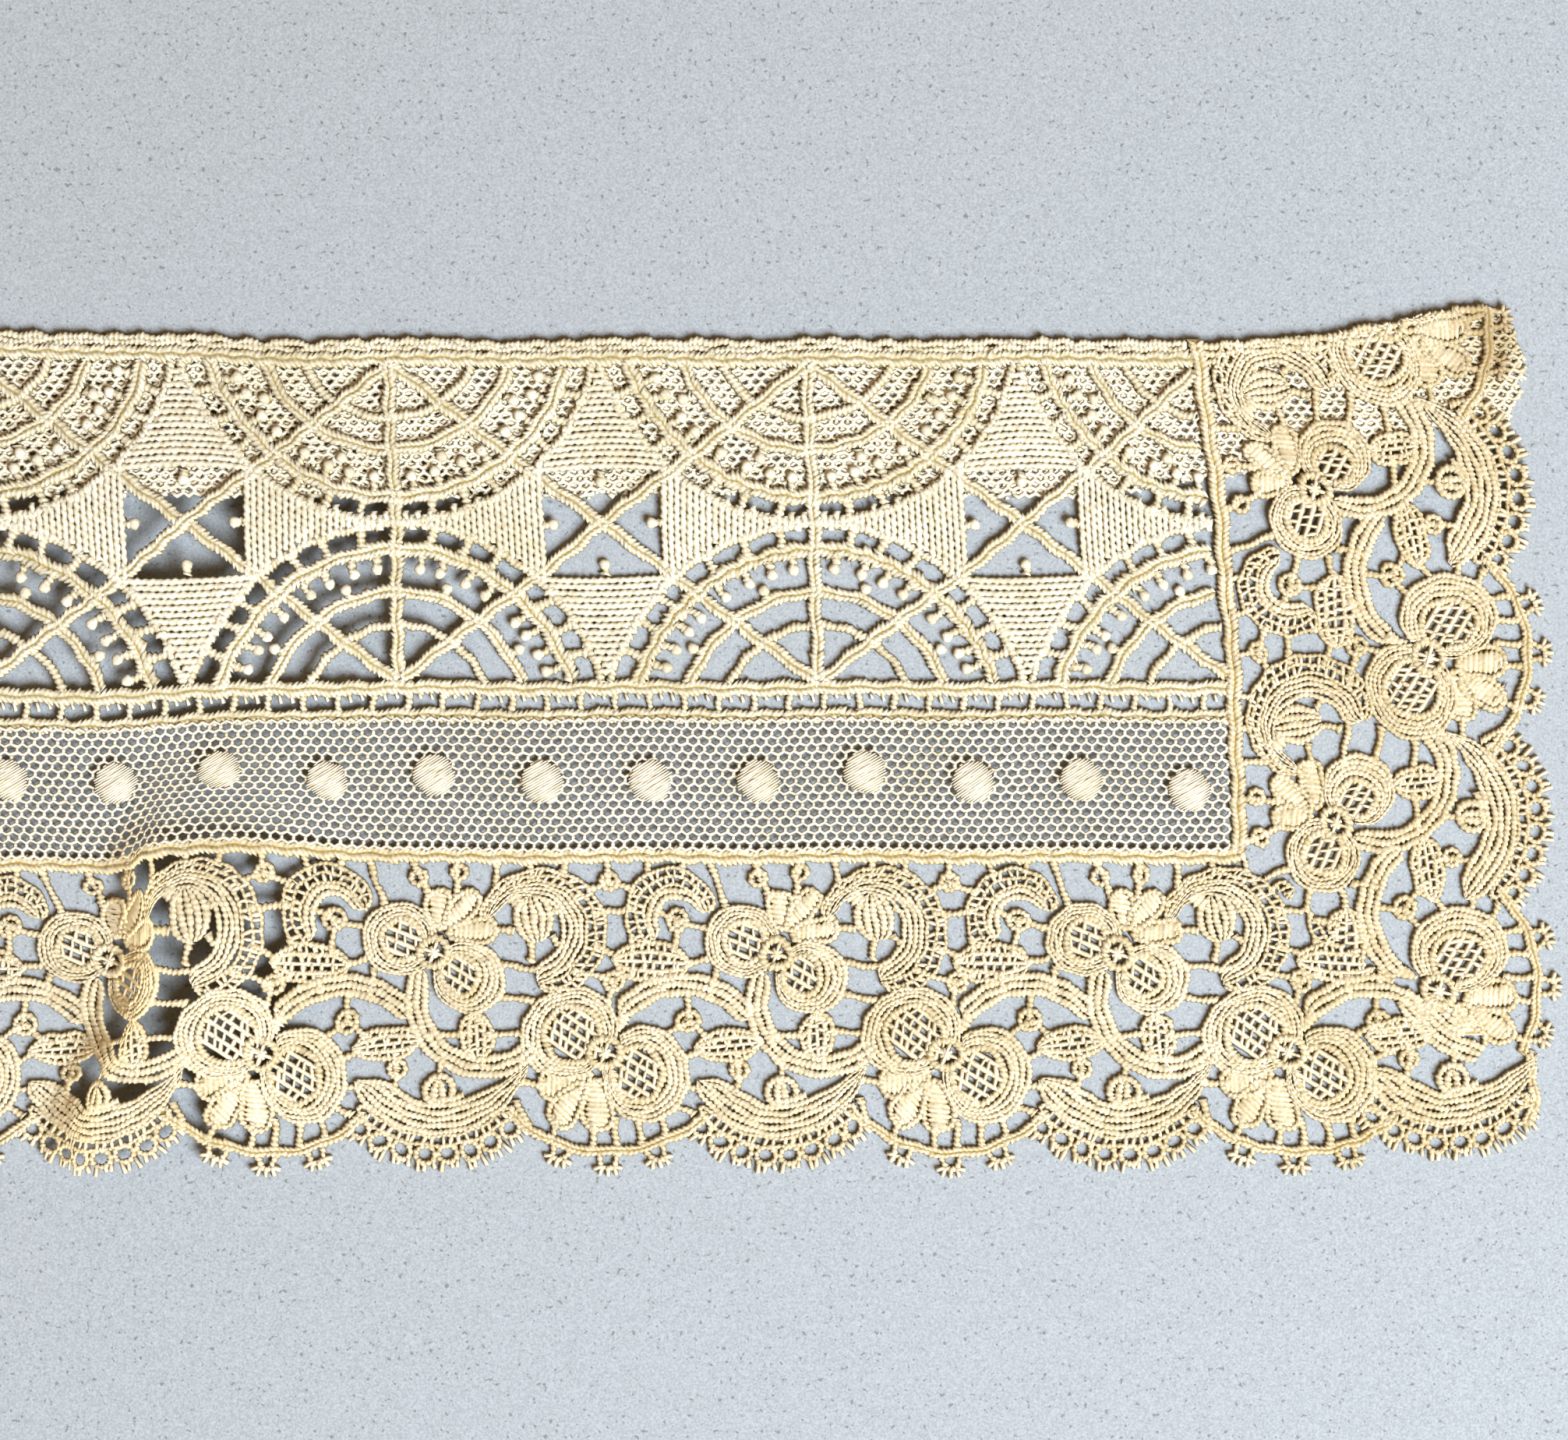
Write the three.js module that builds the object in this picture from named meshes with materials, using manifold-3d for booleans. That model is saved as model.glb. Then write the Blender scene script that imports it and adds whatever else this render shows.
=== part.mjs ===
// Cotton lace border, a cut length lying face up, in millimetres with +Z up.
// A band of wheel lace (the insertion), a strip of dotted net and a scalloped floral edging are
// sewn side by side. The edging turns the corner with a mitre and runs up the right-hand side.
// A plain strip of net lies behind the head of the border.
// Flat patterns are drawn with +X along the border and +Y towards its head, from the inner corner
// where the two runs of edging meet. lay() then moves them to where the cloth lies, and every
// piece is cut from a sheet that follows the cloth's folds.

import * as THREE from "three";
import { mergeVertices } from "three/addons/utils/BufferGeometryUtils.js";
import Module from "manifold-3d";

const wasm = await Module();
wasm.setup();

const { clamp, degToRad, smoothstep } = THREE.MathUtils;

// Driving dimensions of the border
const LEFT_END = -162;
const LACE_THICKNESS = 1.2;
const NET_THICKNESS = 1.0;
const SEAM_GAP = 0.3;
const CORD = 1.8;
const BAR = 0.95;
const ARC_STEP = 30;
const WHEEL_STEP = 20;

// Rows of the border, measured up from the heading of the edging
const NET_FOOT = CORD / 2 + SEAM_GAP;
const NET_HEAD = 16.9;
const INSERTION_FOOT = NET_HEAD + SEAM_GAP;
const FOOT_HUB = 22.2;
const HEAD_HUB = 62.9;
const INSERTION_HEAD = 65.6;
const INSERTION_RIGHT = -CORD / 2 - SEAM_GAP;

// The insertion's wheels: half wheels stand on the foot and hang from the head
const INSERTION_REPEATS = 3;
const HUB_DROP = 5.7;
const WHEEL_CORDS = [
  { radius: 11.9, width: 1.1 },
  { radius: 17.3, width: 1.7 },
  { radius: 22.8, width: 1.7 },
];
const WINDOW_HALF_WIDTH = 8.7;
const WINDOW_HALF_HEIGHT = 6.7;

// The dotted net
const DOT_COUNT = 12;
const DOT_FIRST = -156.8;
const DOT_PITCH = 13.68;
const DOT_RADIUS = 2.7;
const DOT_ROWS = [9.3, 10.1];
const DOT_HEIGHT = 0.7;

// The floral edging: s runs along the heading, t runs from the heading out to the scallops
const EDGING_REPEAT = 43.8;
const BOTTOM_FLOWERS = [-169, -125.2, -81.4, -37.6, 6.2, 48.6];
const SIDE_REPEAT = 42.8;
const SIDE_FLOWERS = [-17.4, 25.4, 68.2];
const MITRE_START = [-0.9, 0.9];
const MITRE_END = [44, -38.4];
const SEAM_STRIP = 1.0;
const SEAM_SHARE = 0.8;
const CORNER_REACH = 40;
const PAST_SCALLOPS = 46;
const LEFT_BINDING_DEPTH = 33.5;
const SIDE_HEAD = 65.8;
const SIDE_HEAD_RISE = 5.1;
const SIDE_HEAD_REACH = 37.6;
const SIDE_HEAD_POWER = 1.7;
const SIDE_HEAD_STATIONS = [0, 6, 12, 18, 24, 30, 34, SIDE_HEAD_REACH];

// Round parts of one repeat: flower rings, petals, leaf lobes, scroll balls, picots
const ROUNDS = [
  { s: -1.0, t: 27.0, long: 3.6, wide: 3.6, turn: 0 },
  { s: -4.4, t: 22.4, long: 6.3, wide: 5.8, turn: -35 },
  { s: 4.1, t: 28.2, long: 6.2, wide: 5.8, turn: -40 },
  { s: -5.7, t: 28.5, long: 3.2, wide: 1.8, turn: -20 },
  { s: -4.4, t: 31.8, long: 3.3, wide: 1.8, turn: -60 },
  { s: -0.9, t: 31.4, long: 3.8, wide: 1.9, turn: 82 },
  { s: -21.2, t: 11.7, long: 3.0, wide: 2.6, turn: 0 },
  { s: -26.1, t: 11.0, long: 5.0, wide: 4.6, turn: 60 },
  { s: -17.6, t: 15.4, long: 4.9, wide: 4.4, turn: -45 },
  { s: -21.2, t: 7.4, long: 2.9, wide: 1.8, turn: 82 },
  { s: -18.1, t: 7.4, long: 3.6, wide: 1.8, turn: -50 },
  { s: -17.0, t: 9.9, long: 3.6, wide: 2.0, turn: -18 },
  { s: -8.9, t: 8.2, long: 2.9, wide: 2.1, turn: 80 },
  { s: -21.6, t: 30.6, long: 2.4, wide: 2.3, turn: 0 },
  { s: -5.9, t: 38.3, long: 1.7, wide: 1.6, turn: 0 },
  { s: 0.6, t: 39.3, long: 1.7, wide: 1.6, turn: 0 },
  { s: 7.0, t: 38.6, long: 1.7, wide: 1.6, turn: 0 },
  { s: 0.6, t: 3.3, long: 1.3, wide: 1.3, turn: 0 },
  { s: 9.4, t: 8.3, long: 1.6, wide: 1.4, turn: 0 },
  { s: 1.6, t: 16.2, long: 1.4, wide: 1.4, turn: 0 },
  { s: 11.0, t: 21.2, long: 1.5, wide: 1.5, turn: 0 },
  { s: -23.7, t: 2.8, long: 1.2, wide: 1.2, turn: 0 },
  { s: -26.4, t: 27.4, long: 1.2, wide: 1.2, turn: 0 },
];

// Pointed leaves with a net filling
const LEAVES = [
  { s: 6.3, t: 13.6, long: 4.9, wide: 2.3, turn: 4 },
  { s: -27.4, t: 24.2, long: 4.5, wide: 1.9, turn: -4 },
  { s: -16.2, t: 23.2, long: 3.0, wide: 2.2, turn: 75 },
];

// Scrolls: the area between an outer and an inner arc
const SCROLLS = [
  {
    outer: { s: -8.0, t: 9.0, radius: 7.8, from: -150, to: 86 },
    inner: { s: -10.0, t: 8.8, radius: 4.5, from: -150, to: 78 },
  },
  {
    outer: { s: 8.8, t: 7.6, radius: 6.2, from: 140, to: 346 },
    inner: { s: 9.9, t: 8.1, radius: 3.3, from: 150, to: 325 },
  },
  {
    outer: { s: -21.5, t: 23.6, radius: 12.4, from: 24, to: 156 },
    inner: { s: -21.5, t: 12.0, radius: 19.3, from: 56, to: 124 },
  },
];

// Stems, scallop cords and picot edges: bands that follow an arc
const BANDS = [
  { s: 10.5, t: 26.9, radius: 10.3, from: -137, to: -43, width: 2.5 },
  { s: -16.0, t: 19.0, radius: 8.0, from: 48, to: 188, width: 2.4 },
  { s: -21.5, t: 23.6, radius: 14.1, from: 44, to: 136, width: 5.4 },
  { s: 0.7, t: 19.9, radius: 18.0, from: 49, to: 132, width: 1.8 },
];

// Bars that tie the motifs together
const BARS = [
  { s: -24.7, t: 0, endS: -22.2, endT: 5.6 },
  { s: -30.4, t: 0, endS: -27.6, endT: 7.2 },
  { s: -18.7, t: 0, endS: -18.9, endT: 5.6 },
  { s: -14.1, t: 0, endS: -13.6, endT: 4.2 },
  { s: -10.2, t: 6.8, endS: -11.6, endT: 4.0 },
  { s: -5.0, t: 0, endS: -5.2, endT: 2.6 },
  { s: 0.3, t: 0, endS: 0.6, endT: 3.3 },
  { s: 0.6, t: 3.3, endS: -2.2, endT: 4.6 },
  { s: 0.6, t: 3.3, endS: 4.2, endT: 4.8 },
  { s: 5.6, t: 0, endS: 6.0, endT: 2.8 },
  { s: -1.4, t: 7.4, endS: 4.0, endT: 7.0 },
  { s: -1.4, t: 11.4, endS: 2.6, endT: 13.2 },
  { s: 9.4, t: 8.3, endS: 6.4, endT: 7.0 },
  { s: 9.4, t: 8.3, endS: 14.0, endT: 9.6 },
  { s: 9.4, t: 8.3, endS: 9.0, endT: 12.4 },
  { s: 10.6, t: 13.8, endS: 13.6, endT: 13.2 },
  { s: -15.0, t: 13.6, endS: -7.4, endT: 14.6 },
  { s: -14.4, t: 17.8, endS: -8.8, endT: 18.6 },
  { s: -3.9, t: 14.6, endS: 1.6, endT: 16.2 },
  { s: 1.6, t: 16.2, endS: 4.2, endT: 14.9 },
  { s: 1.6, t: 16.2, endS: 0.6, endT: 19.6 },
  { s: 7.2, t: 15.2, endS: 7.6, endT: 17.6 },
  { s: -29.4, t: 14.4, endS: -30.0, endT: 17.8 },
  { s: -22.6, t: 23.2, endS: -17.2, endT: 22.8 },
  { s: -15.2, t: 22.8, endS: -9.8, endT: 22.8 },
  { s: -16.4, t: 19.0, endS: -16.2, endT: 21.4 },
  { s: 11.0, t: 21.2, endS: 11.0, endT: 17.2 },
  { s: 11.0, t: 21.2, endS: 7.4, endT: 23.6 },
  { s: 11.0, t: 21.2, endS: 14.2, endT: 23.6 },
  { s: 9.6, t: 26.6, endS: 13.0, endT: 24.6 },
  { s: 9.6, t: 29.6, endS: 12.8, endT: 29.8 },
  { s: -26.4, t: 27.4, endS: -26.6, endT: 25.2 },
  { s: -26.4, t: 27.4, endS: -26.8, endT: 30.6 },
  { s: -20.4, t: 25.9, endS: -21.4, endT: 29.6 },
  { s: -10.6, t: 25.6, endS: -10.9, endT: 29.2 },
  { s: -10.9, t: 29.0, endS: -7.2, endT: 29.2 },
  { s: -11.0, t: 31.2, endS: -9.6, endT: 34.6 },
  { s: -5.6, t: 33.4, endS: -6.6, endT: 36.6 },
  { s: 1.6, t: 33.6, endS: 1.8, endT: 37.6 },
  { s: 7.4, t: 32.6, endS: 8.0, endT: 36.2 },
];

// How the cloth lies: the fold, from the scallops up to the head of the net
const FOLD = [
  { y: -46, crest: -148.4, height: 3.0 },
  { y: -41, crest: -147.6, height: 3.2 },
  { y: -33, crest: -146.2, height: 3.8 },
  { y: -24, crest: -142.7, height: 4.4 },
  { y: -14, crest: -140.6, height: 4.7 },
  { y: -7, crest: -139.9, height: 4.6 },
  { y: 0, crest: -139.6, height: 4.2 },
  { y: 5, crest: -136.5, height: 3.2 },
  { y: 11, crest: -133.8, height: 1.9 },
  { y: 15, crest: -132.5, height: 0.9 },
  { y: 19, crest: -131.5, height: 0.0 },
  { y: 80, crest: -131.5, height: 0.0 },
];
const FOLD_STEEP_SIDE = 3.4;
const FOLD_GENTLE_SIDE = 19;
const FOLD_TAKE_UP = 2.3;
const FOLD_FULL_HEIGHT = 4.7;
const BULGE = { x: -134, y: 38, reachX: 54, reachY: 29, height: 4.0 };

// How far the cloth at the left end is drawn up or down, row by row
const SAG = [
  { y: -42, rise: 0.0 },
  { y: 0, rise: -1.2 },
  { y: 18, rise: -1.3 },
  { y: 22, rise: -1.1 },
  { y: 63, rise: 1.0 },
  { y: 80, rise: 1.0 },
];
const SAG_FROM = -150;
const SAG_TO = -118;

// The right-hand side leans inwards towards the head
const LEAN_LEFT = 2.1;
const LEAN_RIGHT = 5.5;
const LEAN_FROM = -60;
const LEAN_POWER = 2.1;
const CORNER_FLARE = 0.05;

// Lace that lies over the net turning is raised by it
const TURNING_RAW_EDGE = 45.8;
const LIFT = NET_THICKNESS + SEAM_GAP;
const LIFT_FROM = 36.5;
const LIFT_TO = 44.5;

// Stations of the folded sheets that the pieces are cut from: close over the fold and the bulge,
// far apart where the cloth lies flat
const SHEET_LEFT = -172;
const SHEET_RIGHT = 52;
const FLAT_FROM = -80;
const FOLD_OFFSETS = [-9, -3.4, -1.7, 0, 2.5, 5.5, 9.5, 14, 19];
const FOLD_COLUMNS = [-104, -92, -79];
const FOLD_ROWS = [-48, -41, -33, -24, -14, -7, 0, 5, 11, 15, 19, 24];
const BULGE_COLUMNS = [-162, -152, -141, -130, -118, -106, -93, -79];
const BULGE_ROWS = [10, 19, 25, 31, LIFT_FROM, 39, 42, LIFT_TO, 50, 56, 62, 67, 80];
const FLAT_ROWS = [-48, LIFT_FROM, 39, 42, LIFT_TO, 80];
const CUTTER_BOTTOM = -5;
const CUTTER_HEIGHT = 40;

// Reads a column of a table at y, straight between its rows
function read(table, column, y) {
  const next = table.findIndex((row) => row.y >= y);
  if (next <= 0) {
    return (next === 0 ? table[0] : table[table.length - 1])[column];
  }
  const [low, high] = [table[next - 1], table[next]];
  return THREE.MathUtils.mapLinear(y, low.y, high.y, low[column], high[column]);
}

// Moves a point of the flat pattern to where it lies in plan
function lay([x, y]) {
  const sag = read(SAG, "rise", y) * (1 - smoothstep(x, SAG_FROM, SAG_TO));
  const lean = LEAN_LEFT + (LEAN_RIGHT - LEAN_LEFT) * smoothstep(x, LEAN_FROM, 0);
  const crest = read(FOLD, "crest", y);
  const folded = read(FOLD, "height", y) / FOLD_FULL_HEIGHT;
  const takeUp = FOLD_TAKE_UP * folded * (1 - smoothstep(x, crest - 6, crest));
  const flare = CORNER_FLARE * Math.max(-y, 0) * smoothstep(x, 0, 20);
  return [x + takeUp + flare - lean * (Math.max(y, 0) / SIDE_HEAD) ** LEAN_POWER, y + sag];
}

// Height of the cloth's underside above the table
function rise(x, y) {
  const offset = x - read(FOLD, "crest", y);
  const steep = smoothstep(offset, -FOLD_STEEP_SIDE, 0);
  const gentle = 1 - smoothstep(offset, 0, FOLD_GENTLE_SIDE);
  const fold = read(FOLD, "height", y) * steep * gentle;
  const across = ((x - BULGE.x) / BULGE.reachX) ** 2 + ((y - BULGE.y) / BULGE.reachY) ** 2;
  return Math.max(fold, BULGE.height * (1 - clamp(across, 0, 1)) ** 2);
}

// Turns closed geometry into a solid that can be joined and cut
function solidOf(geometry) {
  geometry.deleteAttribute("normal");
  geometry.deleteAttribute("uv");
  const merged = mergeVertices(geometry, 1e-4);
  return new wasm.Manifold(
    new wasm.Mesh({
      numProp: 3,
      vertProperties: merged.attributes.position.array,
      triVerts: merged.index.array,
    }),
  );
}

// A sheet that follows the cloth's folds between the given rows and columns
function foldedSheet(thickness, lift, rows, columnsAt) {
  const [across, along] = [columnsAt(rows[0]).length - 1, rows.length - 1];
  const geometry = new THREE.BoxGeometry(across, along, 1, across, along, 1);
  const position = geometry.attributes.position;
  for (let index = 0; index < position.count; index += 1) {
    const y = rows[Math.round(position.getY(index) + along / 2)];
    const x = columnsAt(y)[Math.round(position.getX(index) + across / 2)];
    const under = rise(x, y) + lift * smoothstep(y, LIFT_FROM, LIFT_TO);
    position.setXYZ(index, x, y, position.getZ(index) > 0 ? under + thickness : under);
  }
  return solidOf(geometry);
}

function flatSheet(thickness, lift) {
  return foldedSheet(thickness, lift, FLAT_ROWS, () => [FLAT_FROM, SHEET_RIGHT]);
}

// The sheet for the edging and the dotted net, with the fold at its left
function lowerSheet(thickness) {
  const columnsAt = (y) => {
    const crest = read(FOLD, "crest", y);
    return [SHEET_LEFT, ...FOLD_OFFSETS.map((offset) => crest + offset), ...FOLD_COLUMNS];
  };
  return foldedSheet(thickness, 0, FOLD_ROWS, columnsAt).add(flatSheet(thickness, 0));
}

// The sheet for the insertion and the net turning, with the bulge at its left
function upperSheet(thickness, lift) {
  const columnsAt = () => [SHEET_LEFT, ...BULGE_COLUMNS];
  return foldedSheet(thickness, lift, BULGE_ROWS, columnsAt).add(flatSheet(thickness, lift));
}

// A tall cutter with the laid outline of a flat shape
function cutter(outline) {
  const shape = new THREE.Shape(outline.map((point) => new THREE.Vector2(...lay(point))));
  const geometry = new THREE.ExtrudeGeometry(shape, { depth: CUTTER_HEIGHT, bevelEnabled: false });
  return solidOf(geometry.translate(0, 0, CUTTER_BOTTOM));
}

// Joins a list of solids, in pairs
function join(solids) {
  let list = solids;
  while (list.length > 1) {
    const joined = [];
    for (let index = 0; index < list.length; index += 2) {
      joined.push(index + 1 < list.length ? list[index].add(list[index + 1]) : list[index]);
    }
    list = joined;
  }
  return list[0];
}

// Points along a circular arc, angles in degrees
function arc(x, y, radius, from, to, step = ARC_STEP) {
  const count = Math.max(1, Math.ceil(Math.abs(to - from) / step));
  return Array.from({ length: count + 1 }, (unused, index) => {
    const angle = degToRad(from + ((to - from) * index) / count);
    return [x + radius * Math.cos(angle), y + radius * Math.sin(angle)];
  });
}

function ellipse({ s, t, long, wide, turn }) {
  const sides = long > 4 ? 13 : long > 2 ? 9 : 6;
  const [cos, sin] = [Math.cos(degToRad(turn)), Math.sin(degToRad(turn))];
  return arc(0, 0, 1, 0, 360 - 360 / sides, 360 / sides).map(([x, y]) => [
    s + long * x * cos - wide * y * sin,
    t + long * x * sin + wide * y * cos,
  ]);
}

function leaf({ s, t, long, wide, turn }) {
  const [cos, sin] = [Math.cos(degToRad(turn)), Math.sin(degToRad(turn))];
  const halves = [-1, -0.6, -0.2, 0.2, 0.6].map((x) => [x, 1 - x * x]);
  return [...halves, ...halves.map(([x, y]) => [-x, -y])].map(([x, y]) => [
    s + long * x * cos - wide * y * sin,
    t + long * x * sin + wide * y * cos,
  ]);
}

function scroll({ outer, inner }) {
  const outside = arc(outer.s, outer.t, outer.radius, outer.from, outer.to);
  const inside = arc(inner.s, inner.t, inner.radius, inner.to, inner.from);
  return [...outside, ...inside];
}

function band({ s, t, radius, from, to, width }) {
  const step = radius > 12 ? ARC_STEP / 2 : ARC_STEP;
  const outside = arc(s, t, radius + width / 2, from, to, step);
  return [...outside, ...arc(s, t, radius - width / 2, to, from, step)];
}

// Outline of a strip of even width between two points
function strip([fromX, fromY], [toX, toY], width) {
  const length = Math.hypot(toX - fromX, toY - fromY);
  const acrossX = ((fromY - toY) / length) * (width / 2);
  const acrossY = ((toX - fromX) / length) * (width / 2);
  return [
    [fromX + acrossX, fromY + acrossY],
    [toX + acrossX, toY + acrossY],
    [toX - acrossX, toY - acrossY],
    [fromX - acrossX, fromY - acrossY],
  ];
}

function bar({ s, t, endS, endT }) {
  return strip([s, t], [endS, endT], BAR);
}

// Where a spoke's edge crosses a wheel's circle, seen from the hub
function crossing({ angle, offset }, radius) {
  const [cos, sin] = [Math.cos(degToRad(angle)), Math.sin(degToRad(angle))];
  const [startX, startY] = [-sin * offset, cos * offset + HUB_DROP];
  const half = startX * cos + startY * sin;
  const reach = -half + Math.sqrt(half * half - startX ** 2 - startY ** 2 + radius ** 2);
  return [startX + reach * cos, startY + reach * sin - HUB_DROP];
}

// Where the edges of two neighbouring spokes meet near the hub
function meeting(first, second) {
  const [a, b] = [degToRad(first.angle), degToRad(second.angle)];
  const turn = Math.sin(b - a);
  const x = (-second.offset * Math.cos(a) + first.offset * Math.cos(b)) / turn;
  const y = (-second.offset * Math.sin(a) + first.offset * Math.sin(b)) / turn;
  return [x, y];
}

// One gap of a wheel, between two spokes and two round cords
function wheelGap(first, second, innerRadius, outerRadius) {
  const rim = (radius, from, to) => {
    const [start, end] = [crossing(from, radius), crossing(to, radius)];
    const angle = ([x, y]) => THREE.MathUtils.radToDeg(Math.atan2(y + HUB_DROP, x));
    return arc(0, -HUB_DROP, radius, angle(start), angle(end), WHEEL_STEP);
  };
  const outside = rim(outerRadius, first, second);
  return [...outside, ...(innerRadius ? rim(innerRadius, second, first) : [meeting(first, second)])];
}

// All gaps of a wheel; side is 0 for a whole wheel, 1 or -1 for its right or left half
function wheelGaps(side) {
  const half = (INSERTION_RIGHT - LEFT_END) / INSERTION_REPEATS / 2;
  const slope = THREE.MathUtils.radToDeg(Math.atan2((HEAD_HUB - FOOT_HUB) / 2, half));
  const rays = [0, slope, 90, 180 - slope, 180];
  const sectors = [0, 1, 2, 3].filter((index) => side === 0 || (side > 0) === index < 2);
  const gaps = [];
  for (const sector of sectors) {
    const first = { angle: rays[sector], offset: CORD / 2 };
    const second = { angle: rays[sector + 1], offset: -CORD / 2 };
    WHEEL_CORDS.forEach(({ radius, width }, ring) => {
      const inside = ring ? WHEEL_CORDS[ring - 1] : null;
      const innerRadius = inside ? inside.radius + inside.width / 2 : 0;
      gaps.push(wheelGap(first, second, innerRadius, radius - width / 2));
    });
  }
  return gaps;
}

// The four gaps between the crossed bars of a window
function windowGaps(slope) {
  const upright = CORD / 2 / Math.cos(slope);
  const level = CORD / 2 / Math.sin(slope);
  const halfTop = (WINDOW_HALF_HEIGHT - upright) / Math.tan(slope);
  const halfSide = (WINDOW_HALF_WIDTH - level) * Math.tan(slope);
  return [1, -1].flatMap((sign) => [
    [[0, sign * upright], [halfTop, sign * WINDOW_HALF_HEIGHT], [-halfTop, sign * WINDOW_HALF_HEIGHT]],
    [[sign * level, 0], [sign * WINDOW_HALF_WIDTH, halfSide], [sign * WINDOW_HALF_WIDTH, -halfSide]],
  ]);
}

function insertionCutter() {
  const repeat = (INSERTION_RIGHT - LEFT_END) / INSERTION_REPEATS;
  const middle = (FOOT_HUB + HEAD_HUB) / 2;
  const gaps = [];
  for (let wheel = 0; wheel <= INSERTION_REPEATS; wheel += 1) {
    const hub = LEFT_END + wheel * repeat;
    const side = wheel === 0 ? 1 : wheel === INSERTION_REPEATS ? -1 : 0;
    for (const gap of wheelGaps(side)) {
      gaps.push(gap.map(([x, y]) => [hub + x, FOOT_HUB + y]));
      gaps.push(gap.map(([x, y]) => [hub + x, HEAD_HUB - y]));
    }
    if (wheel < INSERTION_REPEATS) {
      for (const gap of windowGaps(Math.atan2(middle - FOOT_HUB, repeat / 2))) {
        gaps.push(gap.map(([x, y]) => [hub + repeat / 2 + x, middle + y]));
      }
    }
  }
  const whole = cutter(edgesOf(LEFT_END, INSERTION_RIGHT, INSERTION_FOOT, INSERTION_HEAD));
  return whole.subtract(join(gaps.map(cutter)));
}

// A straight band's outline, with enough points on its long edges to follow the lie of the cloth
function edgesOf(left, right, foot, head) {
  const stations = 24;
  const line = Array.from({ length: stations + 1 }, (unused, index) => index / stations);
  const lower = line.map((share) => [left + (right - left) * share, foot]);
  const rightEdge = [0.25, 0.5, 0.75].map((share) => [right, foot + (head - foot) * share]);
  const upper = line.map((share) => [right - (right - left) * share, head]);
  return [...lower, ...rightEdge, ...upper];
}

// One repeat of the floral edging, put in place by a function of s and t
function edgingRepeat(place) {
  const outlines = [
    ...ROUNDS.map(ellipse),
    ...LEAVES.map(leaf),
    ...SCROLLS.map(scroll),
    ...BANDS.map(band),
    ...BARS.map(bar),
  ];
  return join(outlines.map((outline) => cutter(outline.map(place))));
}

// A point beside the mitre line, a share of the way along it
function besideMitre(share, offset) {
  const [runX, runY] = [MITRE_END[0] - MITRE_START[0], MITRE_END[1] - MITRE_START[1]];
  const length = Math.hypot(runX, runY);
  return [
    MITRE_START[0] + runX * share - (runY / length) * offset,
    MITRE_START[1] + runY * share + (runX / length) * offset,
  ];
}

// The head of the side edging is cut along a slope that rises to the right
function sideHead(x) {
  return SIDE_HEAD + SIDE_HEAD_RISE * (clamp(x, 0, SIDE_HEAD_REACH) / SIDE_HEAD_REACH) ** SIDE_HEAD_POWER;
}

function bottomEdgingCutter() {
  const repeats = BOTTOM_FLOWERS.map((flower) => edgingRepeat(([s, t]) => [flower + s, -t]));
  const heading = cutter(edgesOf(LEFT_END, 2, -CORD / 2, CORD / 2));
  const leftBinding = cutter(edgesOf(LEFT_END, LEFT_END + SEAM_STRIP, -LEFT_BINDING_DEPTH, CORD / 2));
  const offset = -SEAM_GAP / 2;
  const seam = strip(
    besideMitre(-0.02, offset - SEAM_STRIP / 2),
    besideMitre(SEAM_SHARE, offset - SEAM_STRIP / 2),
    SEAM_STRIP,
  );
  const outline = [
    [LEFT_END, CORD / 2],
    [LEFT_END, -PAST_SCALLOPS],
    [FLAT_FROM, -PAST_SCALLOPS],
    [CORNER_REACH, -PAST_SCALLOPS],
    besideMitre(0.91, offset),
    besideMitre(0.5, offset),
    besideMitre(0, offset),
    [-60, CORD / 2],
    [-118, CORD / 2],
    [-140, CORD / 2],
  ];
  return join([...repeats, heading, leftBinding, cutter(seam)]).intersect(cutter(outline));
}

function sideEdgingCutter() {
  const stretch = SIDE_REPEAT / EDGING_REPEAT;
  const repeats = SIDE_FLOWERS.map((flower) => edgingRepeat(([s, t]) => [t, flower + s * stretch]));
  const heading = cutter(edgesOf(-CORD / 2, CORD / 2, -2, SIDE_HEAD + 2));
  const offset = SEAM_GAP / 2;
  const seam = strip(
    besideMitre(-0.02, offset + SEAM_STRIP / 2),
    besideMitre(SEAM_SHARE, offset + SEAM_STRIP / 2),
    SEAM_STRIP,
  );
  const headBinding = [
    [-CORD / 2, SIDE_HEAD],
    ...SIDE_HEAD_STATIONS.map((x) => [x, sideHead(x)]),
    ...SIDE_HEAD_STATIONS.toReversed().map((x) => [x, sideHead(x) - CORD]),
    [-CORD / 2, SIDE_HEAD - CORD],
  ];
  const outline = [
    ...[0, 12, 24, 36, 48, 57].map((y) => [-CORD / 2, 0.9 + y]),
    [-CORD / 2, SIDE_HEAD],
    ...SIDE_HEAD_STATIONS.map((x) => [x, sideHead(x)]),
    [PAST_SCALLOPS, 58],
    [PAST_SCALLOPS, 20],
    besideMitre(1.1, offset),
    besideMitre(0.5, offset),
    besideMitre(0, offset),
  ];
  return join([...repeats, heading, cutter(seam), cutter(headBinding)]).intersect(cutter(outline));
}

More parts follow.
